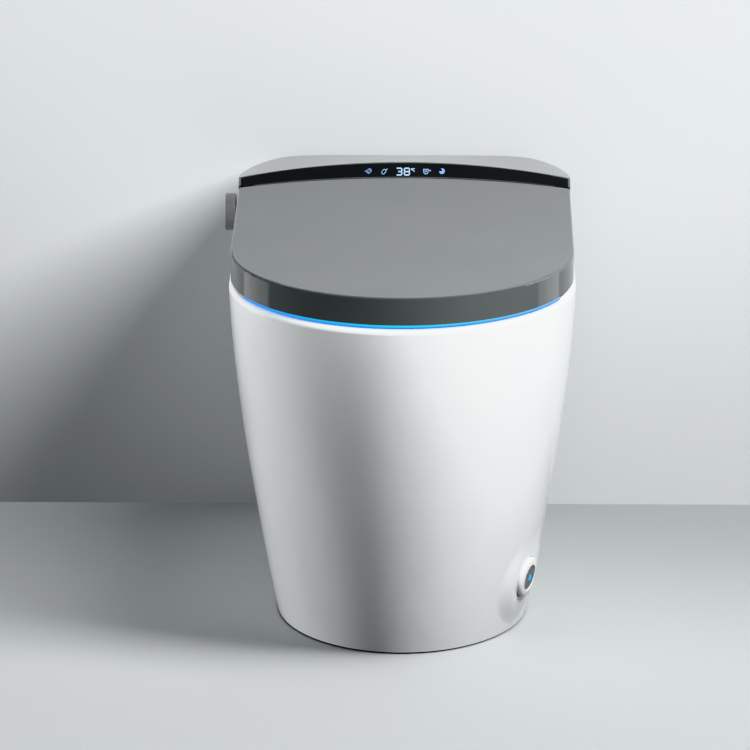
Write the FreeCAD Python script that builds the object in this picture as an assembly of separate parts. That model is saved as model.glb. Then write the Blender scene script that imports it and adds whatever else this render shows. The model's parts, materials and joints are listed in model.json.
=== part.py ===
import FreeCAD, Part
import math
import os

# One-piece smart toilet in millimetres: X to the right, Y to the rear, Z up.
# The origin is the waste outlet's centre on the floor.
# Everything above the rim is drawn level in the deck frame, z 0 on the rim, then tipped with the rim.

# Ceramic body
RIM_Z = 405.0
RIM_TILT = 2.0
RIM_PROUD = 2.5
RIM_FRONT_Y = -386.0
RIM_NOSE = 201.0
RIM_THICK = 16.0
RIM_ROUND = 6.0
BASE_HALF_W = 146.5
BASE_FRONT_Y = -306.0
BASE_NOSE = 193.0
BACK_Y = 300.0
FLARE_POWER = 1.43
CORNER_X = 58.0
CORNER_Y = 90.0
SKIRT_WALL = 11.0
GASKET_THICK = 2.0
GASKET_INSET = 2.5
GASKET_WIDTH = 8.0

# Bowl and trapway
BOWL_HALF_W = 128.0
BOWL_HALF_L = 158.0
BOWL_Y = -168.0
SUMP_HALF_W = 36.0
SUMP_HALF_L = 42.0
SUMP_Y = -95.0
SUMP_DEPTH = 240.0
BOWL_CURVE = 1.5
BOWL_WALL = 10.0
TRAP_R = 27.0
TRAP_WALL = 8.0
TRAP_BEND = 45.0
TRAP_ROUTE = [(-87.0, 200.0), (40.0, 268.0), (78.0, 122.0), (0.0, 72.0), (0.0, 0.0)]
OUTLET_SEAL_R = 55.0
OUTLET_SEAL_H = 14.0

# Tray in the rear of the ceramic
TRAY_FRONT_Y = 4.0
TRAY_WALL = 12.0
TRAY_DEPTH = 98.0
TRAY_FLOOR = 12.0
MOUTH_BOLT_GAP = 10.0
MOUTH_REAR_Y = 280.0
MOUTH_ROUND = 20.0
SECTION_FRONT_Y = -120.0
SECTION_REAR_Y = 165.0
SECTION_BACK_X = 105.0
SERVICE_W = 100.0
SERVICE_H = 62.0

# Floor fixing
BRACKET_REACH = 24.5
BRACKET_TOE = 20.0
BRACKET_GAP = 1.0
BRACKET_Y = 80.0
BRACKET_L = 44.0
BRACKET_THICK = 5.0
BRACKET_H = 48.0
ANCHOR_R = 4.5
SIDE_SCREW_Z = 30.0
SIDE_SCREW_R = 3.0
SIDE_SCREW_REACH = 90.0
CAP_R = 9.0

# Lid and its hinge
LID_R = 197.0
LID_CY = -185.0
LID_REAR_END_Y = 82.0
LID_REAR_MID_Y = 127.0
LID_BOTTOM = 4.5
LID_TOP = 36.5
LID_WALL = 3.5
LID_EDGE_ROUND = 2.5
LID_CORNER = 6.0
AXIS_Y = 69.5
AXIS_DROP = 12.0
SHAFT_R = 4.0
BORE_CLEAR = 0.05
EYE_R = 8.0
BARREL_R = 7.8
SWEEP_CLEAR = 0.8
HINGE_INSET = 35.0
POST_W = 8.0
EYE_W = 14.0
EYE_GAP = 4.0
DAMPER_L = 50.0
DAMPER_GRIP = 10.0
PAD_R = 7.0
PAD_GAP = 0.3
LID_PAD_INSET = 47.0
LID_PAD_ANGLE = 64.0
LID_PAD_SIDE = 62.0
LID_PAD_REAR_Y = -40.0
SEAT_PAD_INSET = 28.0
SEAT_PAD_ANGLE = 25.0
SEAT_PAD_SIDE = 42.0
SEAT_PAD_REAR_Y = -20.0

# Seat and light band
SEAT_GAP = 3.5
SEAT_REAR_GAP = 14.0
SEAT_BOTTOM = 4.2
SEAT_SPLIT = 10.0
SEAT_TOP = 26.0
SEAT_WALL = 3.5
SEAT_ROUND = 7.0
HOLE_HALF_W = 106.0
HOLE_HALF_L = 140.0
HOLE_Y = -170.0
BAND_BOTTOM = 1.2
BAND_OUT_INSET = 0.5
BAND_WIDTH = 19.5
BAND_HALF_ANGLE = 66.0

# Rear housing
COVER_PROUD = 0.5
COVER_WALL = 3.0
COVER_TOP_WALL = 5.0
COVER_GAP = 2.0
COVER_BOTTOM = 0.3
COVER_CORNER_X = 62.0
COVER_CORNER_Y = 150.0
COVER_BLOCK_H = 60.0
SHOULDER_X = 28.0
SHOULDER_Y = 55.0
CHASSIS_SHOULDER = 0.15
RIDGE_MID = (163.0, 46.3)
RIDGE_END = (107.0, 42.0)
REAR_EDGE_MID = 17.8
REAR_EDGE_END = 6.0
CROWN_POWER = 6
PANEL_THICK = 2.5
PANEL_EDGE = 1.0
PANEL_RIDGE_EDGE = 2.5
PANEL_END = 2.5
CHASSIS_THICK = 4.0
CHASSIS_GAP = 0.6
STRIP_WIDTH = 9.5
WELL_WALL = 3.0
WELL_FRONT_GAP = 3.0
BOLT_R = 3.0
BOLT_CLEAR = 0.4
BOLT_INSET = 22.5
BOLT_YS = (140.0, 222.0)
COVER_SCREW_X = 90.0
COVER_SCREW_R = 2.0
COVER_SCREW_GRIP = 8.0
SCREW_POST = 10.0

# Nozzle unit, drawn level along Y and then sloped
NOZZLE_SLOPE = 12.0
NOZZLE_Z = -52.0
WAND_HALF_W = 8.0
WAND_HALF_H = 6.0
WAND_FRONT = -76.0
WAND_REAR = 85.0
TIP_L = 6.0
GUIDE_CLEAR = 0.3
GUIDE_WALL = 3.0
GUIDE_FRONT = -62.0
GUIDE_REAR = 95.0
GUIDE_LEG_YS = (74.0, 132.0)
NOZZLE_PORT_R = 16.5
NOZZLE_PORT_REACH = 120.0
WAND_ROUND = 4.0
GEAR_MODULE = 1.25
PINION_TEETH = 16
PINION_W = 6.0
PINION_S = -25.0
RACK_TEETH = 28
RACK_WEB = 1.0
BACKLASH = 0.16
MOTOR_R = 14.0
MOTOR_L = 19.0
MOTOR_SHAFT_R = 2.5

# Dryer
BLOWER_R = 46.0
BLOWER_X = 90.0
BLOWER_Y = 205.0
BLOWER_H = 36.0
BLOWER_WALL = 2.5
IMPELLER_R = 34.0
IMPELLER_H = 22.0
IMPELLER_BLADES = 18
IMPELLER_LIFT = 3.0
HUB_R = 11.0
HUB_ROOF = 6.0
STATOR_R = 8.5
DUCT_W = 36.0
DUCT_H = 24.0
DUCT_WALL = 2.0
DUCT_LIFT = 6.0
DUCT_FRONT_Y = -34.0
FLAP_THICK = 2.0
FLAP_PIN_R = 1.5
FLAP_ARM = 3.0

# Water and power
HEATER_SIZE = (84.0, 74.0, 40.0)
HEATER_X = -112.0
HEATER_Y = 118.0
INLET_X = -112.0
INLET_Z = -56.0
INLET_R = 10.48
INLET_BORE_R = 7.0
INLET_L = 16.0
INLET_END_Y = 297.0
VALVE_SIZE = (40.0, 44.0, 36.0)
PUMP_R = 27.0
PUMP_L = 84.0
PUMP_Y = 176.0
PUMP_FOOT = 6.0
HOSE_R = 6.0
HOSE_BORE_R = 4.0
HOSE_BEND = 18.0
HOSE_SIDE = 24.0
HOSE_LEAD = 20.0
GLAND_X = 132.0
GLAND_Z = -52.0
GLAND_R = 9.0
GLAND_BORE_R = 4.2
BOX_SIZE = (180.0, 76.0, 16.0)
BOX_Y = 152.0
BOARD_THICK = 1.6
BOARD_HALF_W = 62.0
BOARD_L = 24.0
BOARD_START = 9.0
BOARD_GAP = 0.5

# Side knob, along X in the left wall
KNOB_Y = 205.0
KNOB_Z = 398.0
KNOB_R = 22.5
KNOB_L = 13.0
KNOB_WALL = 3.0
KNOB_SINK = 2.0
KNOB_FLANGE = 4.0
KNOB_TRAVEL = 3.0
KNOB_NECK_R = 8.5
KNOB_CARRIER_R = 6.0
KNOB_SHAFT_R = 3.0
KNOB_NECK_L = 25.5

# Foot button, along its own axis out of the right front wall
FOOT_Z = 65.0
FOOT_ANGLE = 25.8
FOOT_TURN = 22.0
FOOT_DIP = 10.0
FOOT_BEZEL_R = 24.0
FOOT_PROUD = 7.0
FOOT_SUNK = 3.0
FOOT_DISC_R = 14.6
FOOT_DISC_H = 2.6
FOOT_TRAVEL = 2.5
FOOT_NECK_R = 16.5
FOOT_STEM_R = 5.0
FOOT_LAMP_R = 4.0

V = FreeCAD.Vector
UP = V(0, 0, 1)
RIGHT = V(1, 0, 0)
BACK = V(0, 1, 0)
AXIS_Z = LID_TOP - AXIS_DROP
WELL_FRONT_Y = AXIS_Y - WELL_FRONT_GAP
CHASSIS_FRONT_Y = WELL_FRONT_Y - STRIP_WIDTH
MOUTH_FRONT_Y = WELL_FRONT_Y - WELL_WALL - 1.0
POST_X = (LID_R - HINGE_INSET - POST_W, LID_R - HINGE_INSET)
LID_EAR_X = (POST_X[0] - EYE_GAP - EYE_W, POST_X[0] - EYE_GAP)
SEAT_EYE_X = (LID_EAR_X[0] - 2 * EYE_GAP - EYE_W, LID_EAR_X[0] - 2 * EYE_GAP)
DAMPER_X = (SEAT_EYE_X[0] - EYE_GAP - DAMPER_L, SEAT_EYE_X[0] - EYE_GAP)
RIM_HALF_W = LID_R + RIM_PROUD
COVER_HALF_W = LID_R + COVER_PROUD
PANEL_HALF_W = COVER_HALF_W - PANEL_END
BOLT_X = COVER_HALF_W - BOLT_INSET
MOUTH_HALF_W = BOLT_X - MOUTH_BOLT_GAP
BRACKET_WALL_X = BASE_HALF_W - SKIRT_WALL - BRACKET_GAP
BRACKET_X = BRACKET_WALL_X - BRACKET_REACH
KNOB_SEAT_X = KNOB_SINK - RIM_HALF_W
ENCODER_X = KNOB_SEAT_X + KNOB_NECK_L
BIG = 900.0


def save(name, *shapes):
    """Writes one node made of one or more separate solids."""
    shape = shapes[0] if len(shapes) == 1 else Part.makeCompound(list(shapes))
    shape.exportStep("parts/%s.step" % name)


def box(x0, x1, y0, y1, z0, z1):
    return Part.makeBox(x1 - x0, y1 - y0, z1 - z0, V(x0, y0, z0))


def rod(start, direction, radius, length):
    return Part.makeCylinder(radius, length, start, direction)


def fuse(first, *others):
    return first.fuse(list(others)).removeSplitter()


def mirror(shape):
    return shape.mirror(V(0, 0, 0), RIGHT)


def prism(wire, z0, z1):
    """Closed solid between two heights from a flat outline drawn at z 0."""
    face = Part.Face(wire)
    face.translate(V(0, 0, z0))
    return face.extrude(V(0, 0, z1 - z0))


def deck(shape):
    """Places a deck-frame shape on the tilted rim."""
    placed = shape.copy()
    placed.translate(V(0, 0, RIM_Z))
    placed.rotate(V(0, RIM_FRONT_Y, RIM_Z), RIGHT, RIM_TILT)
    return placed


def arc_edge(x, y, rx, ry, start, end, z=0.0):
    """Elliptical arc about (x, y), angles in radians from +X."""
    arc = Part.ArcOfCircle(Part.Circle(V(0, 0, 0), UP, 1.0), start, end).toShape()
    matrix = FreeCAD.Matrix()
    matrix.A11 = rx
    matrix.A22 = ry
    matrix.A14 = x
    matrix.A24 = y
    matrix.A34 = z
    return arc.transformGeometry(matrix)


def ellipse_wire(x, y, rx, ry, z=0.0):
    return Part.Wire([arc_edge(x, y, rx, ry, -math.pi, 0, z), arc_edge(x, y, rx, ry, 0, math.pi, z)])


def line(a, b):
    return Part.LineSegment(a, b).toShape()


def bent_wire(points, bend):
    """Straight runs joined by tangent arcs of one radius."""
    edges = []
    last = points[0]
    for before, corner, after in zip(points, points[1:], points[2:]):
        into = (corner - before).normalize()
        out = (after - corner).normalize()
        half = into.getAngle(out) / 2
        reach = bend * math.tan(half)
        start = corner - into * reach
        end = corner + out * reach
        inward = (out - into).normalize()
        middle = corner + inward * (bend / math.cos(half) - bend)
        edges.append(line(last, start))
        edges.append(Part.Arc(start, middle, end).toShape())
        last = end
    edges.append(line(last, points[-1]))
    return Part.Wire(edges)


def pipe(points, bend, radius):
    """Solid round bar along a bent route."""
    section = Part.Wire(Part.makeCircle(radius, points[0], points[1] - points[0]))
    return bent_wire(points, bend).makePipeShell([section], True, False)


# Outer shape of the ceramic
def flare(z):
    """Share of the way from foot to rim outline at a height."""
    return 1 - (1 - (z - GASKET_THICK) / (RIM_Z - GASKET_THICK)) ** FLARE_POWER


def skirt_sizes(z):
    """Half width, front and nose length of the body at a height."""
    k = flare(min(z, RIM_Z))
    half = BASE_HALF_W + (RIM_HALF_W - BASE_HALF_W) * k
    front = BASE_FRONT_Y + (RIM_FRONT_Y - BASE_FRONT_Y) * k
    nose = BASE_NOSE + (RIM_NOSE - BASE_NOSE) * k
    return half, front, nose


def tip_ring(ring, z):
    """Tips a level ring by its share of the rim's tilt."""
    ring.rotate(V(0, RIM_FRONT_Y, z), RIGHT, RIM_TILT * (z - GASKET_THICK) / (RIM_Z - GASKET_THICK))
    return ring


def skirt_ring(z, inset):
    """Outline of the body at a height: half ellipse in front, straight sides, rounded rear corners."""
    half, front, nose = skirt_sizes(z)
    half -= inset
    front += inset
    nose -= inset
    rear = BACK_Y - inset
    cx = CORNER_X - inset / 2
    cy = CORNER_Y - inset / 2
    middle = front + nose
    side = rear - cy
    wire = Part.Wire([
        arc_edge(0, middle, half, nose, -math.pi, 0),
        line(V(half, middle, 0), V(half, side, 0)),
        arc_edge(half - cx, side, cx, cy, 0, math.pi / 2),
        line(V(half - cx, rear, 0), V(cx - half, rear, 0)),
        arc_edge(cx - half, side, cx, cy, math.pi / 2, math.pi),
        line(V(-half, side, 0), V(-half, middle, 0)),
    ])
    wire.translate(V(0, 0, z))
    return tip_ring(wire, z)


def skirt_solid(inset, bottom):
    steps = 4
    rise = RIM_Z - bottom
    rings = [skirt_ring(bottom + rise * i / steps, inset) for i in range(steps + 1)]
    return Part.makeLoft(rings, True, False)


def bowl_solid(grow, top, depth):
    """Bowl shape under the rim, from its mouth down to the sump."""
    steps = 4
    sections = []
    for i in range(steps + 1):
        k = i / steps
        z = top - (top + depth) * k
        q = max(0.0, (-RIM_THICK - z) / (SUMP_DEPTH - RIM_THICK)) ** BOWL_CURVE
        sections.append(ellipse_wire(
            0,
            BOWL_Y + (SUMP_Y - BOWL_Y) * q,
            BOWL_HALF_W + (SUMP_HALF_W - BOWL_HALF_W) * q + grow,
            BOWL_HALF_L + (SUMP_HALF_L - BOWL_HALF_L) * q + grow,
            z,
        ))
    return Part.makeLoft(sections, True, False)


# Volume that the lid's rear tongue sweeps about the hinge
def tongue(x):
    """How far the lid's rear edge lies behind the hinge axis."""
    sag = LID_REAR_MID_Y - LID_REAR_END_Y
    radius = (LID_R ** 2 + sag ** 2) / (2 * sag)
    return LID_REAR_MID_Y - AXIS_Y - radius + math.sqrt(radius ** 2 - x ** 2)


def sweep(clear):
    """Barrel about the hinge axis that the tongue stays inside, with a clearance."""
    steps = 8
    xs = [LID_R * (2 * i / steps - 1) for i in range(steps + 1)]
    rim = [V(x, AXIS_Y + math.hypot(tongue(x), AXIS_DROP) + clear, AXIS_Z) for x in xs]
    curve = Part.BSplineCurve()
    curve.interpolate(rim)
    left = V(-LID_R, AXIS_Y, AXIS_Z)
    right = V(LID_R, AXIS_Y, AXIS_Z)
    half = Part.Wire([curve.toShape(), line(rim[-1], right), line(right, left), line(left, rim[0])])
    barrel = Part.Face(half).revolve(V(0, AXIS_Y, AXIS_Z), RIGHT, 360)
    reach = AXIS_Z - LID_BOTTOM + clear
    ends = [rod(V(x, AXIS_Y, AXIS_Z), RIGHT, reach, 14.0) for x in (-LID_R - 4.0, LID_R - 10.0)]
    return barrel.fuse(ends)


barrel = sweep(SWEEP_CLEAR)
barrel_wall = sweep(SWEEP_CLEAR + WELL_WALL)
barrel_room = sweep(SWEEP_CLEAR + WELL_WALL + 0.6)


# Nozzle frame: level along Y through the hinge's line, then sloped down to the front
def nozzle(shape):
    placed = shape.copy()
    placed.translate(V(0, AXIS_Y, NOZZLE_Z))
    placed.rotate(V(0, AXIS_Y, NOZZLE_Z), RIGHT, NOZZLE_SLOPE)
    return deck(placed)


# Foot button frame: z runs out of the wall
def foot(shape):
    placed = shape.copy()
    placed.rotate(V(0, 0, 0), BACK, 90 + FOOT_DIP)
    placed.rotate(V(0, 0, 0), UP, -FOOT_TURN)
    placed.translate(foot_point())
    return placed


def foot_point():
    """Place of the foot button on the skirt's front ellipse, at its own height and angle round the front."""
    half, front, nose = skirt_sizes(FOOT_Z)
    angle = math.radians(FOOT_ANGLE)
    point = V(half * math.cos(angle), front + nose - nose * math.sin(angle), FOOT_Z)
    return tip_ring(Part.Vertex(point), FOOT_Z).Point


def disc(radius, z0, z1):
    return Part.makeCylinder(radius, z1 - z0, V(0, 0, z0), UP)


# Side knob frame: measured along X
def knob_rod(radius, x0, x1):
    return rod(V(x0, KNOB_Y, KNOB_Z), RIGHT, radius, x1 - x0)


def ceramic():
    outer = skirt_solid(0, GASKET_THICK)
    top = max(outer.Faces, key=lambda f: f.CenterOfMass.z)
    outer = outer.makeFillet(RIM_ROUND, top.Edges)
    hollow = skirt_solid(SKIRT_WALL, GASKET_THICK - 5.0)
    above = deck(box(-BIG, BIG, -BIG, BIG, -RIM_THICK, 60))
    tray_block = deck(box(-BIG, BIG, TRAY_FRONT_Y, BIG, -TRAY_DEPTH - TRAY_FLOOR, 60))
    tray_room = deck(box(-BIG, BIG, TRAY_FRONT_Y + TRAY_WALL, BIG, -TRAY_DEPTH, -RIM_THICK))
    body = outer.cut(hollow.cut(above).cut(tray_block))
    body = body.cut(hollow.common(tray_room))
    mouth = box(-MOUTH_HALF_W, MOUTH_HALF_W, MOUTH_FRONT_Y, MOUTH_REAR_Y, -RIM_THICK - 1, 1)
    upright = [e for e in mouth.Edges if abs(e.tangentAt(e.FirstParameter).z) > 0.9]
    mouth = mouth.makeFillet(MOUTH_ROUND, upright)
    cuts = [
        deck(mouth),
        deck(prism(ellipse_wire(0, BOWL_Y, BOWL_HALF_W, BOWL_HALF_L), -RIM_THICK - 1, 1)),
        deck(barrel_room.common(box(-BIG, BIG, MOUTH_FRONT_Y, BIG, -RIM_THICK - 60, 60))),
        nozzle(rod(V(0, 0, 0), V(0, -1, 0), NOZZLE_PORT_R, NOZZLE_PORT_REACH)),
        deck(duct_hole()),
        deck(service_hole()),
        deck(rod(V(GLAND_X, BACK_Y - 40, GLAND_Z), BACK, GLAND_R + 0.3, 80)),
        knob_rod(KNOB_R + 1.5, KNOB_SEAT_X - 40, KNOB_SEAT_X),
        knob_rod(KNOB_NECK_R + 0.3, KNOB_SEAT_X - 1, KNOB_SEAT_X + 30),
        foot(disc(FOOT_BEZEL_R + 0.5, -FOOT_SUNK, 40)),
        foot(disc(FOOT_NECK_R + 0.3, -40, 10)),
    ]
    for side in (-1, 1):
        shank = V(side * BRACKET_X, BRACKET_Y, SIDE_SCREW_Z)
        cuts.append(rod(shank, V(side, 0, 0), SIDE_SCREW_R + 0.5, SIDE_SCREW_REACH))
        cuts.append(rod(V(side * cap_seat(), BRACKET_Y, SIDE_SCREW_Z), V(side, 0, 0), CAP_R + 0.5, 40))
        for y in BOLT_YS:
            cuts.append(deck(rod(V(side * BOLT_X, y, -40), UP, BOLT_R + BOLT_CLEAR, 60)))
    return body.cut(cuts)


def ceramic_sections(body):
    """The casting in sections that meet face to face: rim, tray, front, sides, rear corners and back."""
    under = deck(box(-BIG, BIG, -BIG, BIG, -BIG, -RIM_THICK))
    behind = deck(box(-BIG, BIG, TRAY_FRONT_Y, BIG, -TRAY_DEPTH - TRAY_FLOOR, 0))
    tray_zone = skirt_solid(SKIRT_WALL, GASKET_THICK - 5.0).common(behind)
    walls = body.common(under).cut(tray_zone)
    middle = box(-BIG, BIG, SECTION_FRONT_Y, SECTION_REAR_Y, -BIG, BIG)
    sides = walls.common(middle)
    rear = walls.common(box(-BIG, BIG, SECTION_REAR_Y, BIG, -BIG, BIG))
    rear_left = rear.common(box(-BIG, -SECTION_BACK_X, -BIG, BIG, -BIG, BIG))
    over_sill = deck(box(-BIG, BIG, -BIG, BIG, INLET_Z - SERVICE_H / 2, BIG))
    return {
        "rim": body.cut(under),
        "tray": body.common(under).common(tray_zone),
        "front": walls.common(box(-BIG, BIG, -BIG, SECTION_FRONT_Y, -BIG, BIG)),
        "left_side": sides.common(box(-BIG, 0, -BIG, BIG, -BIG, BIG)),
        "right_side": sides.common(box(0, BIG, -BIG, BIG, -BIG, BIG)),
        "rear_left": rear_left.cut(over_sill),
        "rear_right": rear.common(box(SECTION_BACK_X, BIG, -BIG, BIG, -BIG, BIG)),
        "inlet_corner": rear_left.common(over_sill),
        "back": rear.common(box(-SECTION_BACK_X, SECTION_BACK_X, -BIG, BIG, -BIG, BIG)),
    }


def cap_seat():
    """Flat seat of the side caps, sunk in the skirt's outer face."""
    k = flare(SIDE_SCREW_Z - CAP_R)
    return BASE_HALF_W + (RIM_HALF_W - BASE_HALF_W) * k - 1.0


def duct_x():
    return BLOWER_X - BLOWER_R + DUCT_W / 2


def duct_bottom():
    return -TRAY_DEPTH + DUCT_LIFT


def duct_hole():
    x = duct_x()
    half = DUCT_W / 2 + 0.5
    z = duct_bottom() - 0.5
    return box(x - half, x + half, -90, 60, z, z + DUCT_H + 1)


def service_hole():
    half = SERVICE_W / 2
    z0 = INLET_Z - SERVICE_H / 2
    return box(INLET_X - half, INLET_X + half, BACK_Y - 60, BACK_Y + 60, z0, z0 + SERVICE_H)


def route(points):
    return [V(0, y, z) for y, z in points]


trap_points = route(TRAP_ROUTE)
trap_outer = pipe(trap_points, TRAP_BEND, TRAP_R + TRAP_WALL)
trap_inner = pipe(trap_points, TRAP_BEND, TRAP_R)
bowl_outer = deck(bowl_solid(BOWL_WALL, -RIM_THICK, SUMP_DEPTH + BOWL_WALL))
bowl_inner = deck(bowl_solid(0, -RIM_THICK + 4, SUMP_DEPTH))

bowl = bowl_outer.cut([
    bowl_inner,
    trap_inner,
    nozzle(rod(V(0, 0, 0), V(0, -1, 0), NOZZLE_PORT_R, NOZZLE_PORT_REACH)),
    deck(duct_hole()),
])
trapway = trap_outer.cut([bowl_outer, trap_inner])
for section, shape in ceramic_sections(ceramic()).items():
    save("ceramic_" + section, max(shape.Solids, key=lambda s: s.Volume))
save("ceramic_bowl", max(bowl.Solids, key=lambda s: s.Volume))
save("trapway", max(trapway.Solids, key=lambda s: s.Volume))


# Floor gasket, outlet seal and fixing brackets
def gasket():
    outer = Part.Face(skirt_ring(GASKET_THICK, GASKET_INSET)).extrude(V(0, 0, -GASKET_THICK))
    inner = Part.Face(skirt_ring(GASKET_THICK, GASKET_INSET + GASKET_WIDTH)).extrude(V(0, 0, -GASKET_THICK))
    return outer.cut(inner)


def bracket():
    wall_x = BRACKET_WALL_X
    front = BRACKET_Y - BRACKET_L / 2
    rear = BRACKET_Y + BRACKET_L / 2
    foot_plate = box(BRACKET_X - BRACKET_TOE, wall_x, front, rear, 0, BRACKET_THICK)
    leg = box(wall_x - BRACKET_THICK, wall_x, front, rear, 0, BRACKET_H)
    anchor = rod(V(BRACKET_X, BRACKET_Y, -1), UP, ANCHOR_R, BRACKET_THICK + 2)
    screw = rod(V(BRACKET_X, BRACKET_Y, SIDE_SCREW_Z), RIGHT, SIDE_SCREW_R + 0.05, 40)
    return fuse(foot_plate, leg).cut([anchor, screw])


def side_screw():
    start = BRACKET_WALL_X - BRACKET_THICK - SIDE_SCREW_R * 2
    shank = rod(V(start, BRACKET_Y, SIDE_SCREW_Z), RIGHT, SIDE_SCREW_R, cap_seat() - start)
    head = rod(V(cap_seat(), BRACKET_Y, SIDE_SCREW_Z), RIGHT, SIDE_SCREW_R * 2, 2.0)
    return fuse(shank, head)


def bolt_cap():
    cap = rod(V(cap_seat(), BRACKET_Y, SIDE_SCREW_Z), RIGHT, CAP_R, 5.0)
    outer_rim = max(cap.Edges, key=lambda e: e.CenterOfMass.x)
    cap = cap.makeFillet(2.5, [outer_rim])
    return cap.cut(rod(V(cap_seat(), BRACKET_Y, SIDE_SCREW_Z), RIGHT, SIDE_SCREW_R * 2 + 0.05, 2.05))


seal = rod(V(0, 0, 0), UP, OUTLET_SEAL_R, OUTLET_SEAL_H).cut(
    rod(V(0, 0, -1), UP, TRAP_R + TRAP_WALL + 0.1, OUTLET_SEAL_H + 2))
save("floor_gasket", gasket())
save("outlet_seal", seal)
save("floor_brackets", bracket(), mirror(bracket()))
save("side_screws", side_screw(), mirror(side_screw()))
save("bolt_caps", bolt_cap(), mirror(bolt_cap()))


# Lid
def lid_outline(inset, rear):
    """Round front, straight sides and an arched rear edge."""
    r = LID_R - inset
    y_end = LID_REAR_END_Y + rear
    y_mid = LID_REAR_MID_Y + rear
    return Part.Wire([
        Part.Arc(V(-r, LID_CY, 0), V(0, LID_CY - r, 0), V(r, LID_CY, 0)).toShape(),
        line(V(r, LID_CY, 0), V(r, y_end, 0)),
        Part.Arc(V(r, y_end, 0), V(0, y_mid, 0), V(-r, y_end, 0)).toShape(),
        line(V(-r, y_end, 0), V(-r, LID_CY, 0)),
    ])


def axis_rod(x0, x1, radius):
    return rod(V(x0, AXIS_Y, AXIS_Z), RIGHT, radius, x1 - x0)


def both(make, span):
    """One piece on the right and its mirror image on the left."""
    right = make(*span)
    return [right, mirror(right)]


def lid_ear(x0, x1):
    web = box(x0, x1, AXIS_Y - EYE_R, AXIS_Y + EYE_R, AXIS_Z, LID_TOP - LID_WALL + 0.5)
    return fuse(axis_rod(x0, x1, EYE_R), web)


def lid():
    shell = prism(lid_outline(0, 0), LID_BOTTOM, LID_TOP)
    corners = [e for e in shell.Edges
               if abs(e.tangentAt(e.FirstParameter).z) > 0.9 and e.CenterOfMass.y > LID_CY + 10]
    shell = shell.makeFillet(LID_CORNER, corners)
    top = max(shell.Faces, key=lambda f: f.CenterOfMass.z)
    shell = shell.makeFillet(LID_EDGE_ROUND, top.Edges)
    shell = shell.cut(prism(lid_outline(LID_WALL, 60), LID_BOTTOM - 1, LID_TOP - LID_WALL))
    behind = box(-BIG, BIG, AXIS_Y, BIG, LID_BOTTOM - 20, LID_TOP - LID_WALL)
    shell = shell.cut(behind.cut(axis_rod(-BIG, BIG, AXIS_Z - LID_BOTTOM)))
    shell = fuse(shell, *both(lid_ear, LID_EAR_X))
    return shell.cut(axis_rod(-BIG, BIG, SHAFT_R + BORE_CLEAR).common(
        box(-LID_EAR_X[1] - 2, LID_EAR_X[1] + 2, -BIG, BIG, -BIG, BIG)))


def pads(places, z0, z1):
    return [deck(rod(V(x, y, z0), UP, PAD_R, z1 - z0)) for x, y in places]


def pad_places(inset, angle, side, rear_y):
    """Two places round the lid's front and two along its sides."""
    reach = LID_R - inset
    turn = math.radians(angle)
    front = (reach * math.sin(turn), LID_CY - reach * math.cos(turn))
    return [(s * x, y) for s in (-1, 1) for x, y in (front, (LID_R - side, rear_y))]


lid_pad_places = pad_places(LID_PAD_INSET, LID_PAD_ANGLE, LID_PAD_SIDE, LID_PAD_REAR_Y)
seat_pad_places = pad_places(SEAT_PAD_INSET, SEAT_PAD_ANGLE, SEAT_PAD_SIDE, SEAT_PAD_REAR_Y)
save("lid", deck(lid()))
save("lid_bumpers", *pads(lid_pad_places, SEAT_TOP + PAD_GAP, LID_TOP - LID_WALL))
save("lid_shaft", deck(axis_rod(DAMPER_X[0] + DAMPER_GRIP, POST_X[1], SHAFT_R)))


# Seat
def seat_outline(inset):
    r = LID_R - LID_WALL - SEAT_GAP - inset
    rear = AXIS_Y - SEAT_REAR_GAP - inset
    return Part.Wire([
        Part.Arc(V(-r, LID_CY, 0), V(0, LID_CY - r, 0), V(r, LID_CY, 0)).toShape(),
        line(V(r, LID_CY, 0), V(r, rear, 0)),
        line(V(r, rear, 0), V(-r, rear, 0)),
        line(V(-r, rear, 0), V(-r, LID_CY, 0)),
    ])


def seat_hole(grow, z0, z1):
    return prism(ellipse_wire(0, HOLE_Y, HOLE_HALF_W + grow, HOLE_HALF_L + grow), z0, z1)


def seat_arm(x0, x1):
    arm = box(x0, x1, AXIS_Y - SEAT_REAR_GAP - SEAT_WALL, AXIS_Y, AXIS_Z - EYE_R, SEAT_TOP - 0.5)
    return fuse(arm, axis_rod(x0, x1, EYE_R))


def seat_top():
    ring = prism(seat_outline(0), SEAT_SPLIT, SEAT_TOP).cut(seat_hole(0, SEAT_SPLIT - 1, SEAT_TOP + 1))
    top = max(ring.Faces, key=lambda f: f.CenterOfMass.z)
    ring = ring.makeFillet(SEAT_ROUND, top.Edges)
    room = prism(seat_outline(SEAT_WALL), SEAT_SPLIT - 1, SEAT_TOP - SEAT_ROUND)
    ring = ring.cut(room.cut(seat_hole(SEAT_WALL, SEAT_SPLIT - 2, SEAT_TOP)))
    ring = fuse(ring, *both(seat_arm, SEAT_EYE_X))
    return ring.cut(axis_rod(-BIG, BIG, SHAFT_R + BORE_CLEAR))


def seat_bottom():
    plate = prism(seat_outline(0), SEAT_BOTTOM, SEAT_SPLIT)
    return plate.cut(seat_hole(0, SEAT_BOTTOM - 1, SEAT_SPLIT + 1))


def seat_heater():
    film = prism(seat_outline(SEAT_WALL + 12), SEAT_TOP - SEAT_ROUND - 1.2, SEAT_TOP - SEAT_ROUND)
    return film.cut(seat_hole(SEAT_WALL + 8, SEAT_SPLIT, SEAT_TOP))


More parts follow.
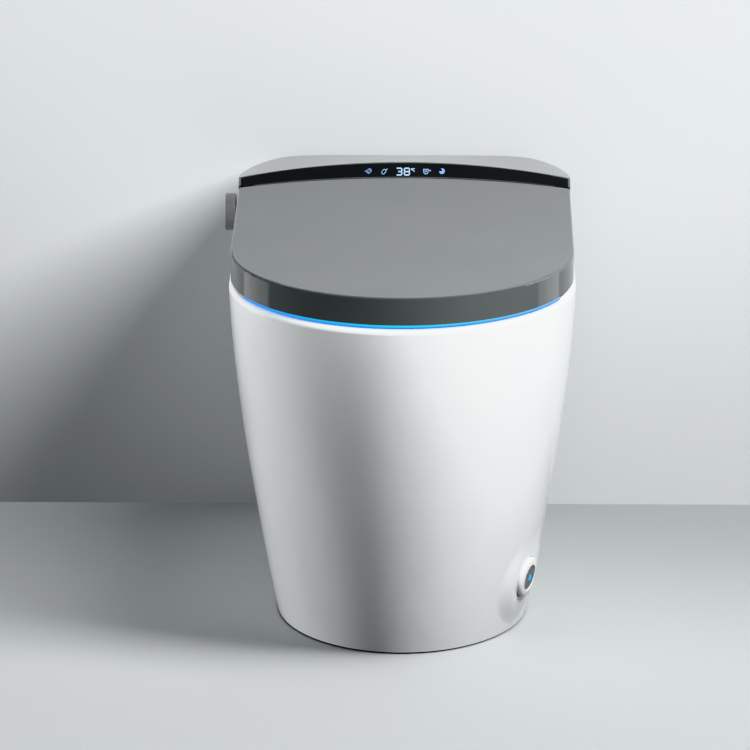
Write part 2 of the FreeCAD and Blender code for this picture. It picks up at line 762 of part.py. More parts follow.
def light_band():
    """Lit sector of a flat ring under the lid's front edge."""
    outer = LID_R - BAND_OUT_INSET
    inner = outer - BAND_WIDTH
    half = math.radians(BAND_HALF_ANGLE)
    ends = [(s * math.sin(half), -math.cos(half)) for s in (-1, 1)]
    points = {r: [V(x * r, LID_CY + y * r, 0) for x, y in ends] for r in (outer, inner)}
    wire = Part.Wire([
        Part.Arc(points[outer][0], V(0, LID_CY - outer, 0), points[outer][1]).toShape(),
        line(points[outer][1], points[inner][1]),
        Part.Arc(points[inner][1], V(0, LID_CY - inner, 0), points[inner][0]).toShape(),
        line(points[inner][0], points[outer][0]),
    ])
    return prism(wire, BAND_BOTTOM, SEAT_BOTTOM)


save("seat_top", deck(seat_top()))
save("seat_bottom", deck(seat_bottom()))
save("seat_heater", deck(seat_heater()))
save("light_band", deck(light_band()))
save("seat_bumpers", *pads(seat_pad_places, PAD_GAP, SEAT_BOTTOM))
save("seat_shaft", deck(axis_rod(-POST_X[1], -DAMPER_X[0] - DAMPER_GRIP, SHAFT_R)))


# Chassis and hinge hardware
def housing_outline(inset, y_end, y_mid, shoulder):
    """Plan of the rear housing: arched front edge, rear corners that grow with the shoulder share."""
    half = COVER_HALF_W - inset
    rear = BACK_Y - inset
    cx = COVER_CORNER_X + SHOULDER_X * shoulder - inset / 2
    cy = COVER_CORNER_Y + SHOULDER_Y * shoulder - inset / 2
    left = V(-half, y_end, 0)
    right = V(half, y_end, 0)
    front = Part.Arc(left, V(0, y_mid, 0), right).toShape() if y_mid > y_end else line(left, right)
    return Part.Wire([
        front,
        line(right, V(half, rear - cy, 0)),
        arc_edge(half - cx, rear - cy, cx, cy, 0, math.pi / 2),
        line(V(half - cx, rear, 0), V(cx - half, rear, 0)),
        arc_edge(cx - half, rear - cy, cx, cy, math.pi / 2, math.pi),
        line(V(-half, rear - cy, 0), left),
    ])


def chassis():
    """Plate on the rim with a sunk well for the lid's tongue and two screw posts at the rear."""
    inset = COVER_WALL + CHASSIS_GAP
    rear = BACK_Y - inset
    outline = housing_outline(inset, CHASSIS_FRONT_Y, CHASSIS_FRONT_Y, CHASSIS_SHOULDER)
    plate = prism(outline, 0, CHASSIS_THICK)
    well_half = MOUTH_HALF_W - 1.0
    well = barrel_wall.common(box(-well_half, well_half, WELL_FRONT_Y - WELL_WALL, BIG, -BIG, CHASSIS_THICK))
    posts = []
    holes = []
    for s in (-1, 1):
        x = s * COVER_SCREW_X
        posts.append(box(x - SCREW_POST, x + SCREW_POST, rear - SCREW_POST, rear, 0, SCREW_POST))
        holes.append(rod(V(x, BACK_Y - 40, cover_screw_z()), BACK, COVER_SCREW_R + BORE_CLEAR, 60))
        for y in BOLT_YS:
            holes.append(rod(V(s * BOLT_X, y, -5), UP, BOLT_R + BOLT_CLEAR, 20))
    swept = barrel.common(box(-BIG, BIG, WELL_FRONT_Y, BIG, -BIG, BIG))
    return fuse(plate, well, *posts).cut([swept] + holes)


def cover_screw_z():
    return CHASSIS_THICK + 1.5


def chassis_bolt(x, y):
    shank = rod(V(x, y, -RIM_THICK - 8), UP, BOLT_R, CHASSIS_THICK + RIM_THICK + 8)
    head = rod(V(x, y, CHASSIS_THICK), UP, BOLT_R * 2, 4.0)
    nut = rod(V(x, y, -RIM_THICK - 5), UP, BOLT_R * 1.8, 5.0)
    return fuse(shank, head, nut)


def hinge_post(x0, x1):
    block = box(x0, x1, CHASSIS_FRONT_Y + 1, WELL_FRONT_Y, CHASSIS_THICK, AXIS_Z)
    return fuse(block, axis_rod(x0, x1, EYE_R)).cut(axis_rod(x0 - 1, x1 + 1, SHAFT_R + BORE_CLEAR))


def damper(x0, x1):
    block = box(x0 + DAMPER_GRIP, x1 - DAMPER_GRIP, CHASSIS_FRONT_Y + 1, WELL_FRONT_Y, CHASSIS_THICK, AXIS_Z)
    bore = axis_rod(x0 + DAMPER_GRIP - 2, x1 + 1, SHAFT_R + BORE_CLEAR)
    return fuse(block, axis_rod(x0, x1, BARREL_R)).cut(bore)


save("chassis", deck(chassis()))
save("chassis_bolts", *[deck(chassis_bolt(s * BOLT_X, y)) for s in (-1, 1) for y in BOLT_YS])
save("hinge_posts", *[deck(p) for p in both(hinge_post, POST_X)])
save("lid_damper", deck(damper(*DAMPER_X)))
save("seat_damper", deck(mirror(damper(*DAMPER_X))))


# Rear cover with its display panel
def hood_profile(x):
    """Side view of the cover's top at one place across: rising front slope, ridge, falling rear."""
    k = (x / COVER_HALF_W) ** 2
    lip_y = LID_REAR_MID_Y + COVER_GAP + (LID_REAR_END_Y - LID_REAR_MID_Y) * k
    ridge_y = RIDGE_MID[0] + (RIDGE_END[0] - RIDGE_MID[0]) * k
    ridge_z = RIDGE_MID[1] + (RIDGE_END[1] - RIDGE_MID[1]) * k
    rear_z = REAR_EDGE_MID + (REAR_EDGE_END - REAR_EDGE_MID) * (x / COVER_HALF_W) ** CROWN_POWER
    front_slope = (ridge_z - LID_TOP) / (ridge_y - lip_y)
    rear_slope = (rear_z - ridge_z) / (BACK_Y - ridge_y)
    front_y = AXIS_Y - 10
    rear_y = BACK_Y + 10
    points = [
        V(x, front_y, -20),
        V(x, front_y, ridge_z - front_slope * (ridge_y - front_y)),
        V(x, ridge_y, ridge_z),
        V(x, rear_y, ridge_z + rear_slope * (rear_y - ridge_y)),
        V(x, rear_y, -20),
    ]
    return Part.makePolygon(points + points[:1])


def hood(drop):
    reach = COVER_HALF_W + 3
    places = [reach * math.sin(math.radians(15 * i)) for i in range(-6, 7)]
    solid = Part.makeLoft([hood_profile(x) for x in places], True, False)
    solid.translate(V(0, 0, -drop))
    return solid


def cover_block(inset, gap, bottom):
    """Block under the hood whose rear corners draw in with height."""
    rings = []
    for share, z in ((0.0, bottom), (1.0, COVER_BLOCK_H)):
        ring = housing_outline(inset, LID_REAR_END_Y + gap, LID_REAR_MID_Y + gap, share)
        ring.translate(V(0, 0, z))
        rings.append(ring)
    return Part.makeLoft(rings, True, True)


def panel():
    """Black crescent let into the front slope, from the lip back to the ridge."""
    w = PANEL_HALF_W
    k = (w / COVER_HALF_W) ** 2
    front_end = LID_REAR_END_Y + COVER_GAP + PANEL_EDGE
    front_mid = LID_REAR_MID_Y + COVER_GAP + PANEL_EDGE
    rear_mid = RIDGE_MID[0] - PANEL_RIDGE_EDGE
    rear_end = RIDGE_MID[0] + (RIDGE_END[0] - RIDGE_MID[0]) * k - PANEL_RIDGE_EDGE
    wire = Part.Wire([
        Part.Arc(V(-w, front_end, 0), V(0, front_mid, 0), V(w, front_end, 0)).toShape(),
        line(V(w, front_end, 0), V(w, rear_end, 0)),
        Part.Arc(V(w, rear_end, 0), V(0, rear_mid, 0), V(-w, rear_end, 0)).toShape(),
        line(V(-w, rear_end, 0), V(-w, front_end, 0)),
    ])
    return prism(wire, 0, COVER_BLOCK_H).common(hood(0)).cut(hood(PANEL_THICK)).cut(barrel)


def rear_cover(display):
    inside = cover_block(COVER_WALL, 0, -1.0).common(hood(COVER_TOP_WALL)).cut(barrel_wall)
    shell = cover_block(0, COVER_GAP, COVER_BOTTOM).common(hood(0)).cut(barrel).cut(inside).cut(display)
    for s in (-1, 1):
        start = V(s * COVER_SCREW_X, BACK_Y - 10, cover_screw_z())
        shell = shell.cut(rod(start, BACK, COVER_SCREW_R + BORE_CLEAR, 20))
    return max(shell.Solids, key=lambda s: s.Volume)


def cover_screw(x):
    reach = COVER_WALL + CHASSIS_GAP + COVER_SCREW_GRIP
    shank = rod(V(x, BACK_Y - reach, cover_screw_z()), BACK, COVER_SCREW_R, reach)
    head = rod(V(x, BACK_Y, cover_screw_z()), BACK, COVER_SCREW_R * 2, 1.6)
    return fuse(shank, head)


display = panel()
save("rear_cover", deck(rear_cover(display)))
save("display_panel", deck(max(display.Solids, key=lambda s: s.Volume)))
save("cover_screws", *[deck(cover_screw(s * COVER_SCREW_X)) for s in (-1, 1)])


# Electronics
def display_board():
    """Thin board that follows the front slope just under the cover's skin."""
    lip = LID_REAR_MID_Y + COVER_GAP
    slope = math.atan2(RIDGE_MID[1] - LID_TOP, RIDGE_MID[0] - lip)
    board = box(-BOARD_HALF_W, BOARD_HALF_W, 0, BOARD_L, -BOARD_THICK, 0)
    board.rotate(V(0, 0, 0), RIGHT, math.degrees(slope))
    rise = BOARD_START * math.tan(slope)
    board.translate(V(0, lip + BOARD_START, LID_TOP + rise - COVER_TOP_WALL - BOARD_GAP))
    return board


def control_box():
    w, l, h = BOX_SIZE
    case = box(-w / 2, w / 2, BOX_Y, BOX_Y + l, CHASSIS_THICK, CHASSIS_THICK + h)
    return case.makeFillet(3.0, [e for e in case.Edges if e.CenterOfMass.z > CHASSIS_THICK + 1])


def power_gland():
    tube = rod(V(GLAND_X, BACK_Y - 26, GLAND_Z), BACK, GLAND_R, 27)
    flange = rod(V(GLAND_X, BACK_Y - SKIRT_WALL - 8, GLAND_Z), BACK, GLAND_R + 5, 3.5)
    return fuse(tube, flange).cut(rod(V(GLAND_X, BACK_Y - 40, GLAND_Z), BACK, GLAND_BORE_R, 80))


save("display_board", deck(display_board()))
save("control_box", deck(control_box()))
save("power_gland", deck(power_gland()))


# Water side
def inlet_valve():
    w, l, h = VALVE_SIZE
    rear = INLET_END_Y - INLET_L
    block = box(INLET_X - w / 2, INLET_X + w / 2, rear - l, rear, -TRAY_DEPTH, INLET_Z + h / 2)
    stub = rod(V(INLET_X, rear, INLET_Z), BACK, INLET_R, INLET_L)
    coil = rod(V(INLET_X, rear - l / 2, INLET_Z + h / 2), UP, 11.0, 20.0)
    bore = rod(V(INLET_X, rear - l / 2, INLET_Z), BACK, INLET_BORE_R, INLET_L + l)
    return fuse(block, stub, coil).cut(bore)


def heater():
    w, l, h = HEATER_SIZE
    tank = box(HEATER_X - w / 2, HEATER_X + w / 2, HEATER_Y, HEATER_Y + l, -TRAY_DEPTH, -TRAY_DEPTH + h)
    return tank.makeFillet(6.0, [e for e in tank.Edges if e.CenterOfMass.z > -TRAY_DEPTH + 1])


def inlet_hose():
    """Straight link from the valve to the heater."""
    start = HEATER_Y + HEATER_SIZE[1]
    end = INLET_END_Y - INLET_L - VALVE_SIZE[1]
    z = -TRAY_DEPTH + HEATER_SIZE[2] / 2
    tube = rod(V(HEATER_X, start, z), BACK, HOSE_R, end - start)
    return tube.cut(rod(V(HEATER_X, start, z), BACK, HOSE_BORE_R, end - start))


def pump_z():
    return -TRAY_DEPTH + PUMP_FOOT + PUMP_R


def flush_pump():
    body = rod(V(0, PUMP_Y, pump_z()), BACK, PUMP_R, PUMP_L)
    body = body.makeFillet(4.0, [e for e in body.Edges if len(e.Vertexes) == 1])
    base = box(-PUMP_R + 6, PUMP_R - 6, PUMP_Y + 10, PUMP_Y + PUMP_L - 10, -TRAY_DEPTH, pump_z() - PUMP_R / 2)
    return fuse(body, base)


def flush_hose():
    """Hose from the pump's side round to the tray's front wall."""
    x = PUMP_R
    points = [
        V(-x + 2, PUMP_Y + HOSE_LEAD, pump_z()),
        V(-x - HOSE_SIDE, PUMP_Y + HOSE_LEAD, pump_z()),
        V(-x - HOSE_SIDE, TRAY_FRONT_Y + TRAY_WALL, pump_z()),
    ]
    tube = pipe(points, HOSE_BEND, HOSE_R).cut(pipe(points, HOSE_BEND, HOSE_BORE_R))
    return tube.cut(rod(V(0, PUMP_Y, pump_z()), BACK, PUMP_R, PUMP_L))


save("inlet_valve", deck(inlet_valve()))
save("water_heater", deck(heater()))
save("inlet_hose", deck(inlet_hose()))
save("flush_pump", deck(flush_pump()))
save("flush_hose", deck(flush_hose()))


# Dryer
def blower_housing():
    z0 = -TRAY_DEPTH
    z1 = z0 + BLOWER_H
    x = duct_x()
    outer = fuse(
        rod(V(BLOWER_X, BLOWER_Y, z0), UP, BLOWER_R, BLOWER_H),
        box(x - DUCT_W / 2, x + DUCT_W / 2, BLOWER_Y - BLOWER_R - 6, BLOWER_Y, z0, z1),
    )
    room = fuse(
        rod(V(BLOWER_X, BLOWER_Y, z0 + BLOWER_WALL), UP, BLOWER_R - BLOWER_WALL, BLOWER_H - 2 * BLOWER_WALL),
        box(x - DUCT_W / 2 + BLOWER_WALL, x + DUCT_W / 2 - BLOWER_WALL, BLOWER_Y - BLOWER_R - 10, BLOWER_Y,
            duct_bottom() + BLOWER_WALL, duct_bottom() + DUCT_H - BLOWER_WALL),
    )
    inlet = rod(V(BLOWER_X, BLOWER_Y, z1 - 5), UP, IMPELLER_R - 12, 10)
    return outer.cut([room, inlet])


def impeller():
    """Bladed wheel whose cup-shaped hub runs round the motor's stator."""
    z = -TRAY_DEPTH + BLOWER_WALL + IMPELLER_LIFT
    plate = rod(V(BLOWER_X, BLOWER_Y, z), UP, IMPELLER_R, 2)
    hub = rod(V(BLOWER_X, BLOWER_Y, z), UP, HUB_R, IMPELLER_H)
    ring = rod(V(BLOWER_X, BLOWER_Y, z + IMPELLER_H - 2), UP, IMPELLER_R, 2)
    ring = ring.cut(rod(V(BLOWER_X, BLOWER_Y, z), UP, IMPELLER_R - 10, IMPELLER_H + 2))
    blades = []
    for i in range(IMPELLER_BLADES):
        blade = box(IMPELLER_R - 9, IMPELLER_R - 0.5, -0.7, 0.7, z, z + IMPELLER_H)
        blade.rotate(V(IMPELLER_R - 5, 0, 0), UP, 30)
        blade.rotate(V(0, 0, 0), UP, 360 * i / IMPELLER_BLADES)
        blade.translate(V(BLOWER_X, BLOWER_Y, 0))
        blades.append(blade)
    wheel = fuse(plate, hub, ring, *blades)
    cup = rod(V(BLOWER_X, BLOWER_Y, z - 1), UP, STATOR_R + 0.5, IMPELLER_H - HUB_ROOF + 1)
    bore = rod(V(BLOWER_X, BLOWER_Y, z - 1), UP, MOTOR_SHAFT_R + BORE_CLEAR, IMPELLER_H - 1)
    return wheel.cut([cup, bore])


def blower_motor():
    z0 = -TRAY_DEPTH + BLOWER_WALL
    z1 = z0 + IMPELLER_LIFT + IMPELLER_H
    base = rod(V(BLOWER_X, BLOWER_Y, z0), UP, HUB_R + 4, IMPELLER_LIFT - 0.6)
    stator = rod(V(BLOWER_X, BLOWER_Y, z0), UP, STATOR_R, z1 - z0 - HUB_ROOF - 1.0)
    shaft = rod(V(BLOWER_X, BLOWER_Y, z0), UP, MOTOR_SHAFT_R, z1 - z0 - 2.5)
    return fuse(base, stator, shaft)


def dryer_duct():
    x = duct_x()
    half = DUCT_W / 2
    z0 = duct_bottom()
    rear = BLOWER_Y - BLOWER_R - 6
    tube = box(x - half, x + half, DUCT_FRONT_Y, rear, z0, z0 + DUCT_H)
    bore = box(x - half + DUCT_WALL, x + half - DUCT_WALL, DUCT_FRONT_Y - 1, rear + 1,
               z0 + DUCT_WALL, z0 + DUCT_H - DUCT_WALL)
    arms = []
    for side in (-1, 1):
        x0, x1 = sorted((x + side * half, x + side * (half - FLAP_ARM)))
        arms.append(box(x0, x1, flap_y() - 2, DUCT_FRONT_Y + 1, flap_z() - 2, flap_z() + 3))
    pin = rod(V(x - half - 1, flap_y(), flap_z()), RIGHT, FLAP_PIN_R + BORE_CLEAR, DUCT_W + 2)
    return fuse(tube.cut(bore), *arms).cut(pin)


def flap_y():
    return DUCT_FRONT_Y - FLAP_THICK - 1.5


def flap_z():
    return duct_bottom() + DUCT_H - 3.0


def dryer_flap():
    """Flap that hangs plumb from its pin."""
    x = duct_x()
    half = DUCT_W / 2 - FLAP_ARM - 0.4
    front = flap_y() - FLAP_THICK / 2
    plate = box(x - half, x + half, front, front + FLAP_THICK, duct_bottom() + 2, flap_z())
    plate.rotate(V(x, flap_y(), flap_z()), RIGHT, -RIM_TILT)
    pin = rod(V(x - DUCT_W / 2, flap_y(), flap_z()), RIGHT, FLAP_PIN_R, DUCT_W)
    return fuse(plate, pin)


save("blower_housing", deck(blower_housing()))
save("blower_impeller", deck(impeller()))
save("blower_motor", deck(blower_motor()))
save("dryer_duct", deck(dryer_duct()))
save("dryer_flap", deck(dryer_flap()))


# Nozzle
PITCH = math.pi * GEAR_MODULE
PITCH_R = GEAR_MODULE * PINION_TEETH / 2
RACK_LINE = -WAND_HALF_H - RACK_WEB - 1.25 * GEAR_MODULE
PINION_V = RACK_LINE - PITCH_R


def rack():
    """Straight 20 degree teeth under the wand, with a gap over the pinion's axis at rest."""
    add = GEAR_MODULE
    ded = 1.25 * GEAR_MODULE
    lean = math.tan(math.radians(20))
    half = PITCH / 4 - BACKLASH / 2
    first = PINION_S - 1.5 * PITCH
    points = [V(0, first - PITCH / 2, RACK_LINE + ded + 1), V(0, first - PITCH / 2, RACK_LINE + ded)]
    for i in range(RACK_TEETH):
        s = first + i * PITCH
        points += [
            V(0, s - half - ded * lean, RACK_LINE + ded),
            V(0, s - half + add * lean, RACK_LINE - add),
            V(0, s + half - add * lean, RACK_LINE - add),
            V(0, s + half + ded * lean, RACK_LINE + ded),
        ]
    last = first + (RACK_TEETH - 0.5) * PITCH
    points += [V(0, last, RACK_LINE + ded), V(0, last, RACK_LINE + ded + 1)]
    face = Part.Face(Part.makePolygon(points + points[:1]))
    teeth = face.extrude(V(PINION_W, 0, 0))
    teeth.translate(V(-PINION_W / 2, 0, 0))
    return teeth


def pinion():
    """Involute pinion on its shaft, one tooth straight up in the rack's gap."""
    base = PITCH_R * math.cos(math.radians(20))
    tip = PITCH_R + GEAR_MODULE
    root = PITCH_R - 1.25 * GEAR_MODULE
    involute = math.tan(math.radians(20)) - math.radians(20)
    half = math.pi / (2 * PINION_TEETH) - BACKLASH / (2 * PITCH_R) + involute
    flank = []
    for i in range(6):
        r = base + (tip - base) * i / 5
        turn = math.acos(base / r)
        flank.append((r, half - (math.tan(turn) - turn)))
    side = [(root, half)] + flank
    points = []
    for i in range(PINION_TEETH):
        centre = math.pi / 2 + 2 * math.pi * i / PINION_TEETH
        points += [(r, centre - a) for r, a in side]
        points += [(r, centre + a) for r, a in reversed(side)]
    outline = [V(0, r * math.cos(a), r * math.sin(a)) for r, a in points]
    gear = Part.Face(Part.makePolygon(outline + outline[:1])).extrude(V(PINION_W, 0, 0))
    gear.translate(V(-PINION_W / 2, 0, 0))
    shaft = rod(V(-PINION_W / 2, 0, 0), RIGHT, MOTOR_SHAFT_R, guide_half_w() + 14)
    wheel = fuse(gear, shaft)
    wheel.translate(V(0, PINION_S, PINION_V))
    return wheel


def guide_half_w():
    return WAND_HALF_W + GUIDE_CLEAR + GUIDE_WALL


def wand():
    bar = box(-WAND_HALF_W, WAND_HALF_W, WAND_FRONT, WAND_REAR, -WAND_HALF_H, WAND_HALF_H)
    long_edges = [e for e in bar.Edges if abs(e.tangentAt(e.FirstParameter).y) > 0.9 and e.CenterOfMass.z > 0]
    return fuse(bar.makeFillet(WAND_ROUND, long_edges), rack())


def nozzle_tip():
    tip = box(-WAND_HALF_W, WAND_HALF_W, WAND_FRONT - TIP_L, WAND_FRONT, -WAND_HALF_H, WAND_HALF_H)
    front = [e for e in tip.Edges if e.CenterOfMass.y < WAND_FRONT - TIP_L + 0.1]
    tip = tip.makeFillet(2.5, front)
    jets = [rod(V(x, WAND_FRONT - TIP_L / 2, 0), UP, 0.8, 10) for x in (-3, 0, 3)]
    return tip.cut(jets)


def nozzle_guide():
    half = guide_half_w()
    gap = WAND_HALF_W + GUIDE_CLEAR
    rise = WAND_HALF_H + GUIDE_CLEAR
    low = -rise - GUIDE_WALL
    case = box(-half, half, GUIDE_FRONT, GUIDE_REAR, low, -low)
    slide = box(-gap, gap, GUIDE_FRONT - 1, GUIDE_REAR - GUIDE_WALL, -rise, rise)
    slot = box(-PINION_W / 2 - 1, PINION_W / 2 + 1, GUIDE_FRONT - 1, GUIDE_REAR + 1, low - 1, 0)
    plate = box(half, half + 2, PINION_S - 16, PINION_S + 16, PINION_V - 12, 0)
    shaft = rod(V(half - 1, PINION_S, PINION_V), RIGHT, MOTOR_SHAFT_R + BORE_CLEAR, 6)
    channel = fuse(case.cut([slide, slot]), plate).cut(shaft)
    return nozzle(channel)


def guide_legs():
    """Feet that stand on the tray and reach up to the sloping channel."""
    half = guide_half_w()
    legs = []
    for y in GUIDE_LEG_YS:
        top = NOZZLE_Z + (y - AXIS_Y) * math.tan(math.radians(NOZZLE_SLOPE))
        leg = box(half - GUIDE_WALL, half, y, y + 8, -TRAY_DEPTH, top)
        legs += [deck(leg), deck(mirror(leg))]
    return legs


def nozzle_motor():
    half = guide_half_w() + 2
    can = rod(V(half, PINION_S, PINION_V), RIGHT, MOTOR_R, MOTOR_L)
    return can.cut(rod(V(half - 1, PINION_S, PINION_V), RIGHT, MOTOR_SHAFT_R + BORE_CLEAR, MOTOR_L))


save("nozzle_guide", fuse(nozzle_guide(), *guide_legs()))
save("nozzle_wand", nozzle(wand()))
save("nozzle_tip", nozzle(nozzle_tip()))
save("nozzle_pinion", nozzle(pinion()))
save("nozzle_motor", nozzle(nozzle_motor()))


# Side knob
def knob_bezel():
    flange = knob_rod(KNOB_R + 1, KNOB_SEAT_X - KNOB_FLANGE, KNOB_SEAT_X)
    neck = knob_rod(KNOB_NECK_R, KNOB_SEAT_X - 1, ENCODER_X)
    outer = max(flange.Edges, key=lambda e: -e.CenterOfMass.x)
    flange = flange.makeFillet(1.5, [outer])
    return fuse(flange, neck).cut(knob_rod(KNOB_CARRIER_R + BORE_CLEAR, KNOB_SEAT_X - 10, ENCODER_X + 1))


def knob_face():
    """Place of the knob's open edge, clear of the bezel over its travel."""
    return KNOB_SEAT_X - KNOB_FLANGE - KNOB_TRAVEL - 0.4


def knob_cap():
    x1 = knob_face()
    x0 = x1 - KNOB_L
    cap = knob_rod(KNOB_R, x0, x1)
    rim = max(cap.Edges, key=lambda e: -e.CenterOfMass.x)
    cap = cap.makeFillet(1.2, [rim])
    cap = cap.cut(knob_rod(KNOB_R - KNOB_WALL, x0 + KNOB_WALL, x1 + 1))
    cap = fuse(cap, knob_rod(KNOB_CARRIER_R, x0 + 1, x1 - 0.3))
    return cap.cut(knob_rod(KNOB_SHAFT_R + BORE_CLEAR, x0 + KNOB_WALL, x1 + 1))


def knob_shaft():
    return knob_rod(KNOB_SHAFT_R, knob_face() - KNOB_L + KNOB_WALL, ENCODER_X - KNOB_TRAVEL - 1)


def knob_carrier():
    sleeve = knob_rod(KNOB_CARRIER_R, knob_face(), ENCODER_X - KNOB_TRAVEL - 1)
    return sleeve.cut(knob_rod(KNOB_SHAFT_R + BORE_CLEAR, knob_face() - 1, ENCODER_X))


def knob_encoder():
    return box(ENCODER_X, ENCODER_X + 18, KNOB_Y - 12, KNOB_Y + 12, KNOB_Z - 10, KNOB_Z + 10)


save("knob_bezel", knob_bezel())
save("knob_cap", knob_cap())
save("knob_shaft", knob_shaft())
save("knob_carrier", knob_carrier())
save("knob_encoder", knob_encoder())


# Foot button
def foot_bezel():
    ring = disc(FOOT_BEZEL_R, -FOOT_SUNK, FOOT_PROUD)
    edge = max(ring.Edges, key=lambda e: e.CenterOfMass.z)
    ring = ring.makeFillet(3.0, [edge])
    ring = fuse(ring, disc(FOOT_NECK_R, -18, -FOOT_SUNK + 1))
    recess = disc(FOOT_DISC_R + 0.3, foot_floor(), FOOT_PROUD + 1)
    return ring.cut([recess, disc(FOOT_STEM_R + BORE_CLEAR, -19, FOOT_PROUD)])


def foot_floor():
    """Floor of the bezel's recess, just below the pressed disc."""
    return FOOT_PROUD - 0.4 - FOOT_DISC_H - FOOT_TRAVEL - 0.4


def foot_button():
    face = disc(FOOT_DISC_R, FOOT_PROUD - 0.4 - FOOT_DISC_H, FOOT_PROUD - 0.4)
    edge = max(face.Edges, key=lambda e: e.CenterOfMass.z)
    face = face.makeFillet(0.8, [edge])
    pocket = disc(FOOT_LAMP_R + 0.05, FOOT_PROUD - 1.6, FOOT_PROUD)
    return fuse(face, disc(FOOT_STEM_R, -17, FOOT_PROUD - 1.8)).cut(pocket)


def foot_lamp():
    lens = disc(FOOT_LAMP_R, FOOT_PROUD - 1.6, FOOT_PROUD - 0.2)
    edge = max(lens.Edges, key=lambda e: e.CenterOfMass.z)
    return lens.makeFillet(0.5, [edge])


def foot_switch():
    body = box(-11, 11, -9, 9, -36, -18)
    return body.cut(disc(FOOT_STEM_R + 1, -17 - FOOT_TRAVEL - 2, -17))


save("foot_button_bezel", foot(foot_bezel()))
save("foot_button", foot(foot_button()))
save("foot_button_lamp", foot(foot_lamp()))
save("foot_button_switch", foot(foot_switch()))
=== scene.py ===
import json
import math
import bpy
import numpy as np
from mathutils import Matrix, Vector


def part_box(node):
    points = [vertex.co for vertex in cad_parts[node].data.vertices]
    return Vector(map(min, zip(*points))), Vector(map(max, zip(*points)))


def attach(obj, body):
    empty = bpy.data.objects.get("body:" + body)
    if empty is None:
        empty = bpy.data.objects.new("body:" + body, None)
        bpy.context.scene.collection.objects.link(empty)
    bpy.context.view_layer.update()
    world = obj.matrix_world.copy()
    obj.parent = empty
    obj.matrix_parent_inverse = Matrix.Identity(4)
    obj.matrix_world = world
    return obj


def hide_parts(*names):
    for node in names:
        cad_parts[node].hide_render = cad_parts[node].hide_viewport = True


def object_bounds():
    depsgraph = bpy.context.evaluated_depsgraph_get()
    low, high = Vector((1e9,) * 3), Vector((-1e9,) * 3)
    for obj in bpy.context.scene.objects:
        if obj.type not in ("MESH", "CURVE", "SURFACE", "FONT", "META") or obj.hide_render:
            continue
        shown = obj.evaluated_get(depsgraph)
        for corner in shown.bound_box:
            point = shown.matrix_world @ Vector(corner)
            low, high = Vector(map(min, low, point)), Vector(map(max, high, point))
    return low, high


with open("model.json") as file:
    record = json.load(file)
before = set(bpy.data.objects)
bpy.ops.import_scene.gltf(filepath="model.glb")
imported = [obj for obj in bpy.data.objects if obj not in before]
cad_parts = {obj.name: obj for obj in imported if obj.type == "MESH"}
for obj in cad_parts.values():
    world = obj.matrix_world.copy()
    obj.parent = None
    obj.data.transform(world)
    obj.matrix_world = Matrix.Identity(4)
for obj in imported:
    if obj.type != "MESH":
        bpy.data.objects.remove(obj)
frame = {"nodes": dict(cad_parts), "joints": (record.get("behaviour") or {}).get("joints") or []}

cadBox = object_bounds()
scene = bpy.context.scene
scene.view_settings.view_transform = "Khronos PBR Neutral"
nodes = frame["nodes"]
print("frame loaded:", len(nodes), "nodes")

# camera on the photograph's viewing angle: far, slightly above, almost straight ahead
cameraView = {
    "distance": 6.787, "height": 2.094, "turn": 0.46, "pitch": 15.21,
    "focus": 5931.0, "axisColumn": 404.5, "frame": 750.0, "sensor": 36.0, "farClip": 60.0,
}


def makeCamera(view):
    # focus and axis column are in picture pixels, and the camera turns aside to bring its axis there
    data = bpy.data.cameras.new("photoCamera")
    data.lens = view["focus"] / view["frame"] * view["sensor"]
    data.sensor_width = view["sensor"]
    data.clip_end = view["farClip"]
    turn = math.radians(view["turn"])
    aside = math.atan((view["axisColumn"] - view["frame"] / 2) / view["focus"])
    distance = view["distance"]
    camera = bpy.data.objects.new("photoCamera", data)
    camera.location = (distance * math.sin(turn), -distance * math.cos(turn), view["height"])
    camera.rotation_euler = (math.radians(90 - view["pitch"]), 0.0, turn + aside)
    scene.collection.objects.link(camera)
    scene.camera = camera


makeCamera(cameraView)
print("camera set")

# the deck: everything above the rim is tipped back with it
deckTilt = {"frontY": -0.386, "rimZ": 0.405, "tilt": 2.0}


def onDeck(x, y, z):
    # turn by the rim's tilt about its front, then lift to the rim
    tilt = math.radians(deckTilt["tilt"])
    reach = np.asarray(y) - deckTilt["frontY"]
    worldY = deckTilt["frontY"] + reach * math.cos(tilt) - np.asarray(z) * math.sin(tilt)
    worldZ = deckTilt["rimZ"] + reach * math.sin(tilt) + np.asarray(z) * math.cos(tilt)
    return np.stack(np.broadcast_arrays(np.asarray(x, float), worldY, worldZ), axis=-1)


def addPiece(name, verts, faces, body, material, smooth=True):
    mesh = bpy.data.meshes.new(name)
    corners = np.asarray(verts, float).reshape(-1, 3)
    mesh.from_pydata(corners.tolist(), [], [list(face) for face in faces])
    mesh.polygons.foreach_set("use_smooth", np.full(len(mesh.polygons), smooth))
    mesh.update()
    mesh.validate()
    piece = bpy.data.objects.new(name, mesh)
    scene.collection.objects.link(piece)
    mesh.materials.append(material)
    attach(piece, body)
    return piece


def gridFaces(rows, columns, wrapRows=False, wrapColumns=False):
    # quads between neighbouring rows and columns of a grid, closed round where asked
    i = np.arange(rows if wrapRows else rows - 1)
    j = np.arange(columns if wrapColumns else columns - 1)
    a, b = np.meshgrid(i, j, indexing="ij")
    nextRow = (a + 1) % rows
    nextColumn = (b + 1) % columns
    quads = [
        a * columns + b, nextRow * columns + b,
        nextRow * columns + nextColumn, a * columns + nextColumn,
    ]
    return np.stack(quads, axis=-1).reshape(-1, 4)


# grain: the noise that colour, roughness and relief are drawn from, and the stretch of it that counts
grainSet = {"low": 0.3, "high": 0.7, "detail": 4.0, "reliefDetail": 3.0, "even": (1.0, 1.0, 1.0)}


